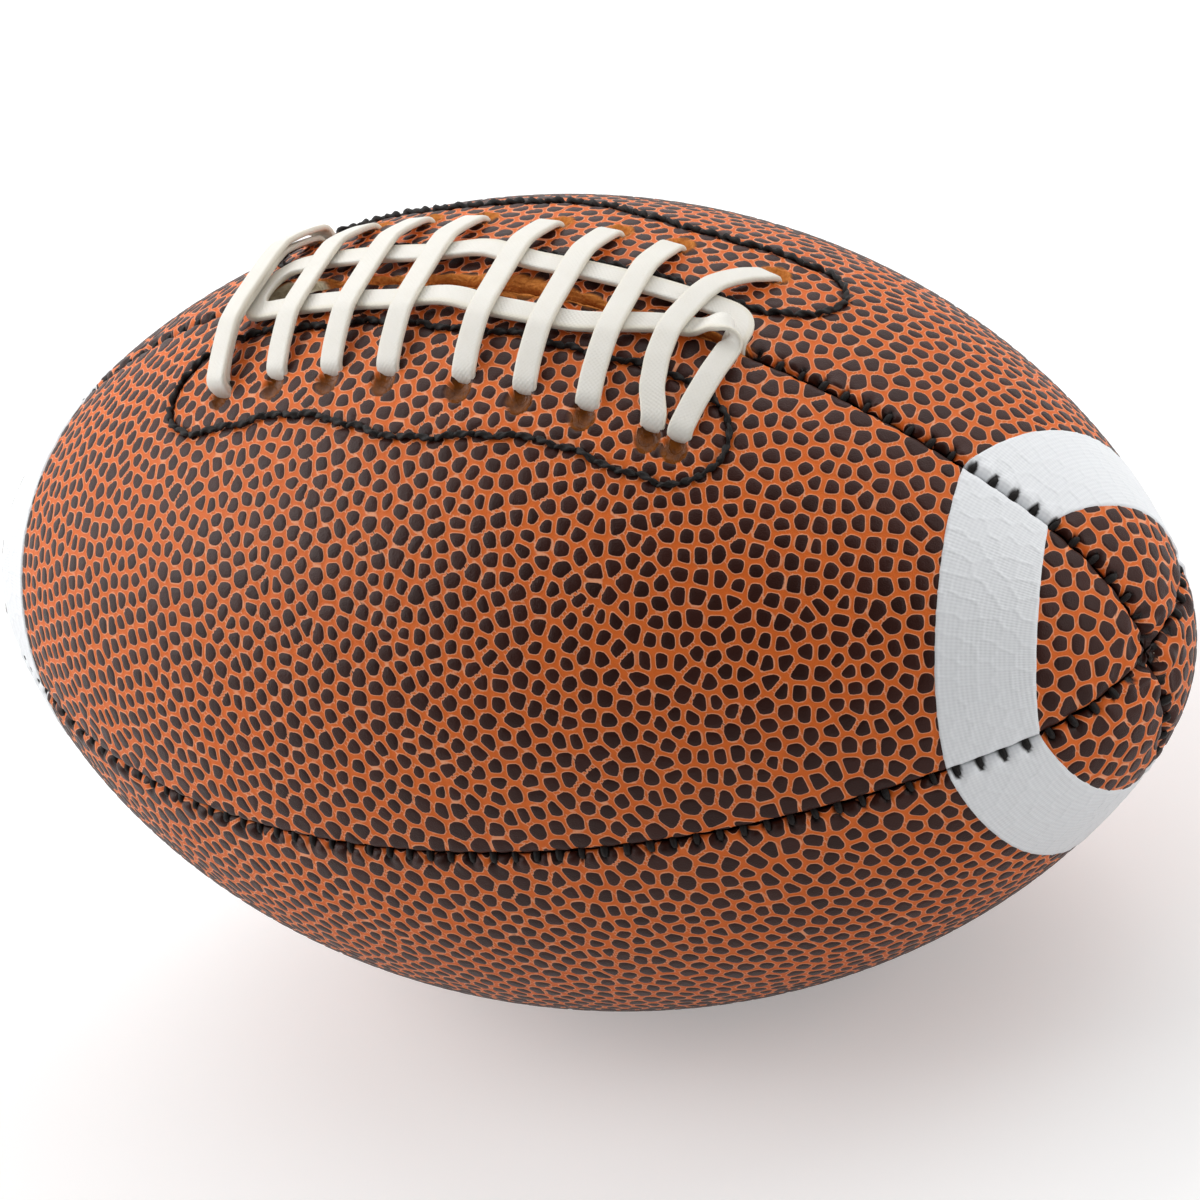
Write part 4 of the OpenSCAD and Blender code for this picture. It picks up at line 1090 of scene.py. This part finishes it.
def lace_route():
    """The lace's points: place along and across, height over the cover, and the way of its width."""
    route = [
        (TAIL_X, 0.0, -LINING_BOTTOM, ALONG),
        (TAIL_X, 0.0, -1.0, ALONG),
        (TAIL_X, 0.0, STRAND_HEIGHT * 0.2, ALONG),
        (TAIL_X, LACE_THICKNESS * 0.4, STRAND_HEIGHT * 0.85, ALONG),
    ]
    right_end = TAIL_X - TURN_RADIUS
    for a in range(90, 181, 18):
        route.append((right_end + TURN_RADIUS * math.sin(math.radians(a)),
                      STRAND_OFFSET - TURN_RADIUS - TURN_RADIUS * math.cos(math.radians(a)),
                      STRAND_HEIGHT, width_at(a)))
    left_end = LACE_X[0] + LACE_WIDTH * 0.35
    for i in range(1, STRAND_STEPS + 1):
        x = right_end + (left_end - right_end) * i / STRAND_STEPS
        y = STRAND_OFFSET + 1.6 * slack(x)
        route.append((x, y, STRAND_HEIGHT + 0.5 * slack(x), width_at(180)))
    for a in range(200, 341, 20):
        round_end = math.radians(a - 90)
        route.append((left_end + LACE_WIDTH * math.cos(round_end),
                      STRAND_OFFSET * math.sin(round_end), STRAND_HEIGHT, width_at(a)))
    front_end = leaned(7, 0) + LACE_WIDTH * 0.6
    for i in range(STRAND_STEPS + 1):
        x = left_end + (front_end - left_end) * i / STRAND_STEPS
        y = front_strand_y(x) + 1.1 * slack(x)
        route.append((x, y, STRAND_HEIGHT + 0.5 * slack(x), width_at(360)))
    # the strand climbs, folds over and comes back underneath to the last front hole
    fold_x = LACE_X[7] + LACE_WIDTH * 0.7
    climb = fold_point(0, fold_x)[2] - STRAND_HEIGHT
    for along_share, up_share in ((0.25, 0.15), (0.7, 0.85)):
        route.append((front_end + (fold_x - front_end) * along_share, front_strand_y(fold_x),
                      STRAND_HEIGHT + climb * up_share, width_at(360)))
    route += [fold_point(22.5 * k, fold_x) for k in range(9)]
    exit_x, exit_y = fold_point(180, fold_x)[:2]
    offset = LACE_HOLE_OFFSET
    for share in SLOPE_SHARES:
        route.append((exit_x + (TAIL_X - exit_x) * share, exit_y + (BEND - offset - exit_y) * share,
                      FOLD_HEIGHT + (REST_HEIGHT - FOLD_HEIGHT) * share, ALONG))

    low = LACE_RUN_DEPTH
    route += shaft(TAIL_X, -1, offset, low, REST_HEIGHT)[::-1]
    route += inner_run(TAIL_X, leaned(7, offset), offset, offset, low)
    for k in range(7, 0, -1):
        next_x = leaned(k - 1, offset) + (0 if k > 1 else DOUBLE_SHIFT)
        route += crossing(k, 0.0, offset, 0.0, low, low)
        route += inner_run(leaned(k, -offset), next_x, offset, offset, low)
    # here the second lay of the first crossing is pressed down on to the first one
    pressed = LACE_THICKNESS * 0.9
    double_offset = offset + pressed
    double_x = LACE_X[0] + DOUBLE_SHIFT
    route += crossing(0, DOUBLE_SHIFT, offset, 0.0, low, DOUBLE_RUN_DEPTH)
    route += inner_run(double_x, leaned(0, offset), offset, double_offset, DOUBLE_RUN_DEPTH)
    return route + crossing(0, 0.0, double_offset, pressed, DOUBLE_RUN_DEPTH, low)[:-2]


def even_line(values, spacing, softness):
    """A line through rows of values at even steps, by the length of their first three measures, made
    soft by an average weighted with a bell curve of the given width."""
    length = length_along(values[:, :3])
    at = np.arange(0, length[-1], spacing)
    reach = math.ceil(3 * softness / spacing)
    weight = bell(np.arange(-reach, reach + 1) * spacing, softness)
    weight /= weight.sum()
    soft = [
        np.convolve(np.pad(np.interp(at, length, column), reach, mode="edge"), weight, "valid")
        for column in values.T
    ]
    return np.stack(soft, 1)


def lace_section(sides):
    """The strip's half width and half thickness times the powers of a circle's two measures, which
    gives a flat box with round corners. It is pressed a little thinner than the solid, and hollow along
    the middle."""
    angle = np.linspace(0, 2 * np.pi, sides, endpoint=False)
    flat = np.sign(np.cos(angle)) * np.abs(np.cos(angle)) ** 0.38
    thick = np.sign(np.sin(angle)) * np.abs(np.sin(angle)) ** 0.48
    return flat * LACE_WIDTH / 2, thick * (0.86 - 0.12 * (1 - flat**2)) * LACE_THICKNESS / 2


def make_lace(leatherette):
    """One flat strip: its section is carried along the whole route, made soft and even, and closed at
    both ends."""
    route = lace_route()
    x, y, height = (np.array([point[k] for point in route]) for k in range(3))
    wide = np.array([point[3] for point in route])
    ways = sum(wide[:, k:k + 1] * way for k, way in enumerate(skin_ways(x, y)))
    line = even_line(np.concatenate([skin(x, y, height), ways], 1), 0.55, 0.95)
    path = line[:, :3]
    run_way = unit(np.gradient(path, axis=0))
    thick_way = unit(np.cross(run_way, line[:, 3:]))
    wide_way = np.cross(thick_way, run_way)
    sides = 20
    flat, thick = lace_section(sides)
    rings = sweep(path, wide_way, thick_way, np.stack([flat, thick], -1)[None, :, :])
    # each end closes to a point in the middle of the strip
    first, last = (np.repeat(end[:, None], sides, 1) for end in (path[:1], path[-1:]))
    rings = np.concatenate([first, rings, last])
    along = np.pad(length_along(path), 1, mode="edge")[:, None]
    uv = np.stack(np.broadcast_arrays(along, flat + 0.5 * (thick < 0)), -1)
    faces = grid_faces(len(rings), sides, closed=True)
    piece = make_piece("flat_lace", rings, faces, leatherette, uv=uv)
    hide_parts("lace")


# Studio

BALL_MIDDLE = Vector((0, 0, MIDDLE_HEIGHT * MM))
FLOOR_HALF = 6.0


def way_out(azimuth, elevation):
    """Way out of the ball's middle, by the degrees round from the front and up."""
    a, e = math.radians(azimuth), math.radians(elevation)
    return Vector((math.sin(a) * math.cos(e), -math.cos(a) * math.cos(e), math.sin(e)))


def make_camera():
    """The photograph's view of the ball, a long lens from above and to the right, rolled."""
    roll = math.radians(-21.6188)
    distance = 5.506
    back = way_out(43.0118, 32.5782)
    level = Vector((0, 0, 1)).cross(back).normalized()
    upright = back.cross(level)
    right = level * math.cos(roll) + upright * math.sin(roll)
    up = upright * math.cos(roll) - level * math.sin(roll)
    data = bpy.data.cameras.new("camera")
    data.sensor_width = 36
    data.lens = 1020.8
    data.shift_x = 0.00436
    data.shift_y = 0.00195
    data.clip_start = 0.1
    data.clip_end = 20
    camera = put_in_scene("camera", data)
    turn = Matrix((right, up, back)).transposed().to_4x4()
    camera.matrix_world = Matrix.Translation(BALL_MIDDLE + back * distance) @ turn
    bpy.context.scene.camera = camera


def make_lamp(name, azimuth, elevation, distance, size, power, shine=1.0):
    """A square soft lamp that faces the ball's middle. shine is how strongly it shows in reflections."""
    back = way_out(azimuth, elevation)
    data = bpy.data.lights.new(name, "AREA")
    data.shape = "SQUARE"
    data.size = size
    data.energy = power
    data.specular_factor = shine
    lamp = put_in_scene(name, data)
    lamp.location = BALL_MIDDLE + back * distance
    lamp.rotation_mode = "QUATERNION"
    lamp.rotation_quaternion = back.to_track_quat("Z", "Y")


def ray_kinds(tree):
    """1 for what the camera sees, directly or through glass, and 1 for what reflections show."""
    ray = add(tree, "LightPath").node.outputs
    through = ray["Is Transmission Ray"]
    seen = add(tree, "Math", {0: ray["Is Camera Ray"], 1: through}, operation="MAXIMUM")
    return seen, ray["Is Glossy Ray"]


def make_world():
    """White surroundings for the camera, softer ones for the light on the ball. Reflections show white,
    and a dark card on the side that the picture is taken from."""
    world = bpy.data.worlds.new("studio")
    world.use_nodes = True
    tree = world.node_tree
    seen, glossy = ray_kinds(tree)
    way = add(tree, "TexCoord", output="Generated")
    to_card = {0: way, 1: (0.30, -0.81, 0.50)}
    facing = add(tree, "VectorMath", to_card, "Value", operation="DOT_PRODUCT")
    card = add(tree, "MapRange", {"Value": facing, "From Min": 0.4, "From Max": 0.8, "To Min": 1,
                                  "To Max": 0.06}, interpolation_type="SMOOTHSTEP")
    soft = add(tree, "Mix", {0: glossy, 2: 0.34, 3: card})
    strength = add(tree, "Mix", {0: seen, 2: soft, 3: 1})
    plug(tree.nodes["Background"], {"Color": (1, 1, 1, 1), "Strength": strength})
    bpy.context.scene.world = world


def make_floor():
    """A wide sheet of white paper that glows a little, for the camera and in reflections alone."""
    material, tree = new_material("floor_paper")
    tree.nodes.remove(tree.nodes["Principled BSDF"])
    seen, glossy = ray_kinds(tree)
    direct = add(tree, "Math", {0: seen, 1: glossy}, operation="MAXIMUM")
    dark, glow = (add(tree, "Emission", {"Strength": strength}) for strength in (0, 0.3))
    lifted = add(tree, "MixShader", {0: direct, 1: dark, 2: glow})
    diffuse = add(tree, "BsdfDiffuse", {"Color": tone("#e6e6e6")})
    both = add(tree, "AddShader", {0: diffuse, 1: lifted})
    plug(tree.nodes["Material Output"], {"Surface": both})
    mesh = bpy.data.meshes.new("floor")
    corners = [(x * FLOOR_HALF, y * FLOOR_HALF, 0) for x, y in ((-1, -1), (1, -1), (1, 1), (-1, 1))]
    mesh.from_pydata(corners, [], [(0, 1, 2, 3)])
    mesh.materials.append(material)
    put_in_scene("floor", mesh)


def make_studio():
    """The photograph's surroundings, with four soft lamps low round the ball."""
    bpy.context.scene.view_settings.view_transform = "Standard"
    make_world()
    make_floor()
    make_lamp("left_lamp", -70, 32, 1.2, 0.9, 9.5, 3.5)
    make_lamp("rear_left_lamp", -140, 42, 1.3, 1.2, 7.0)
    make_lamp("rear_right_lamp", 150, 40, 1.3, 1.2, 6.0)
    make_lamp("right_lamp", 100, 18, 1.2, 0.5, 3.0)


def dress_cad_nodes():
    """Materials for the nodes that stay as the solids made them."""
    finishes = {
        "lining_": plain_cloth("polyester_cotton_lining", "#b9ae98", "#e4dccb", 0.6),
        "patch_": plain_cloth("woven_patch_cloth", "#6d6f6b", "#a3a5a0", 0.7),
        "lace_guard": plain_cloth("coated_guard_cloth", "#c4bca6", "#ddd6c4", 0.6),
        "bladder": moulded_rubber("butyl_bladder_rubber", "#2b2b2d", "#414144"),
        "valve_seat": moulded_rubber("moulded_seat_rubber", "#1d1d20", "#2e2e32"),
        "valve_plug": moulded_rubber("moulded_valve_rubber", "#0f0f11", "#1f1f22"),
    }
    for name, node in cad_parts.items():
        for start, material in finishes.items():
            if name.startswith(start):
                node.data.materials.clear()
                node.data.materials.append(material)


make_camera()
cover_seeds = make_panels(embossed_cover())
make_stripes(white_film(), cover_seeds)
black_thread = waxed_thread()
make_patch_threads(black_thread)
make_seam_threads(black_thread)
make_lace(lace_leatherette())
dress_cad_nodes()
make_studio()
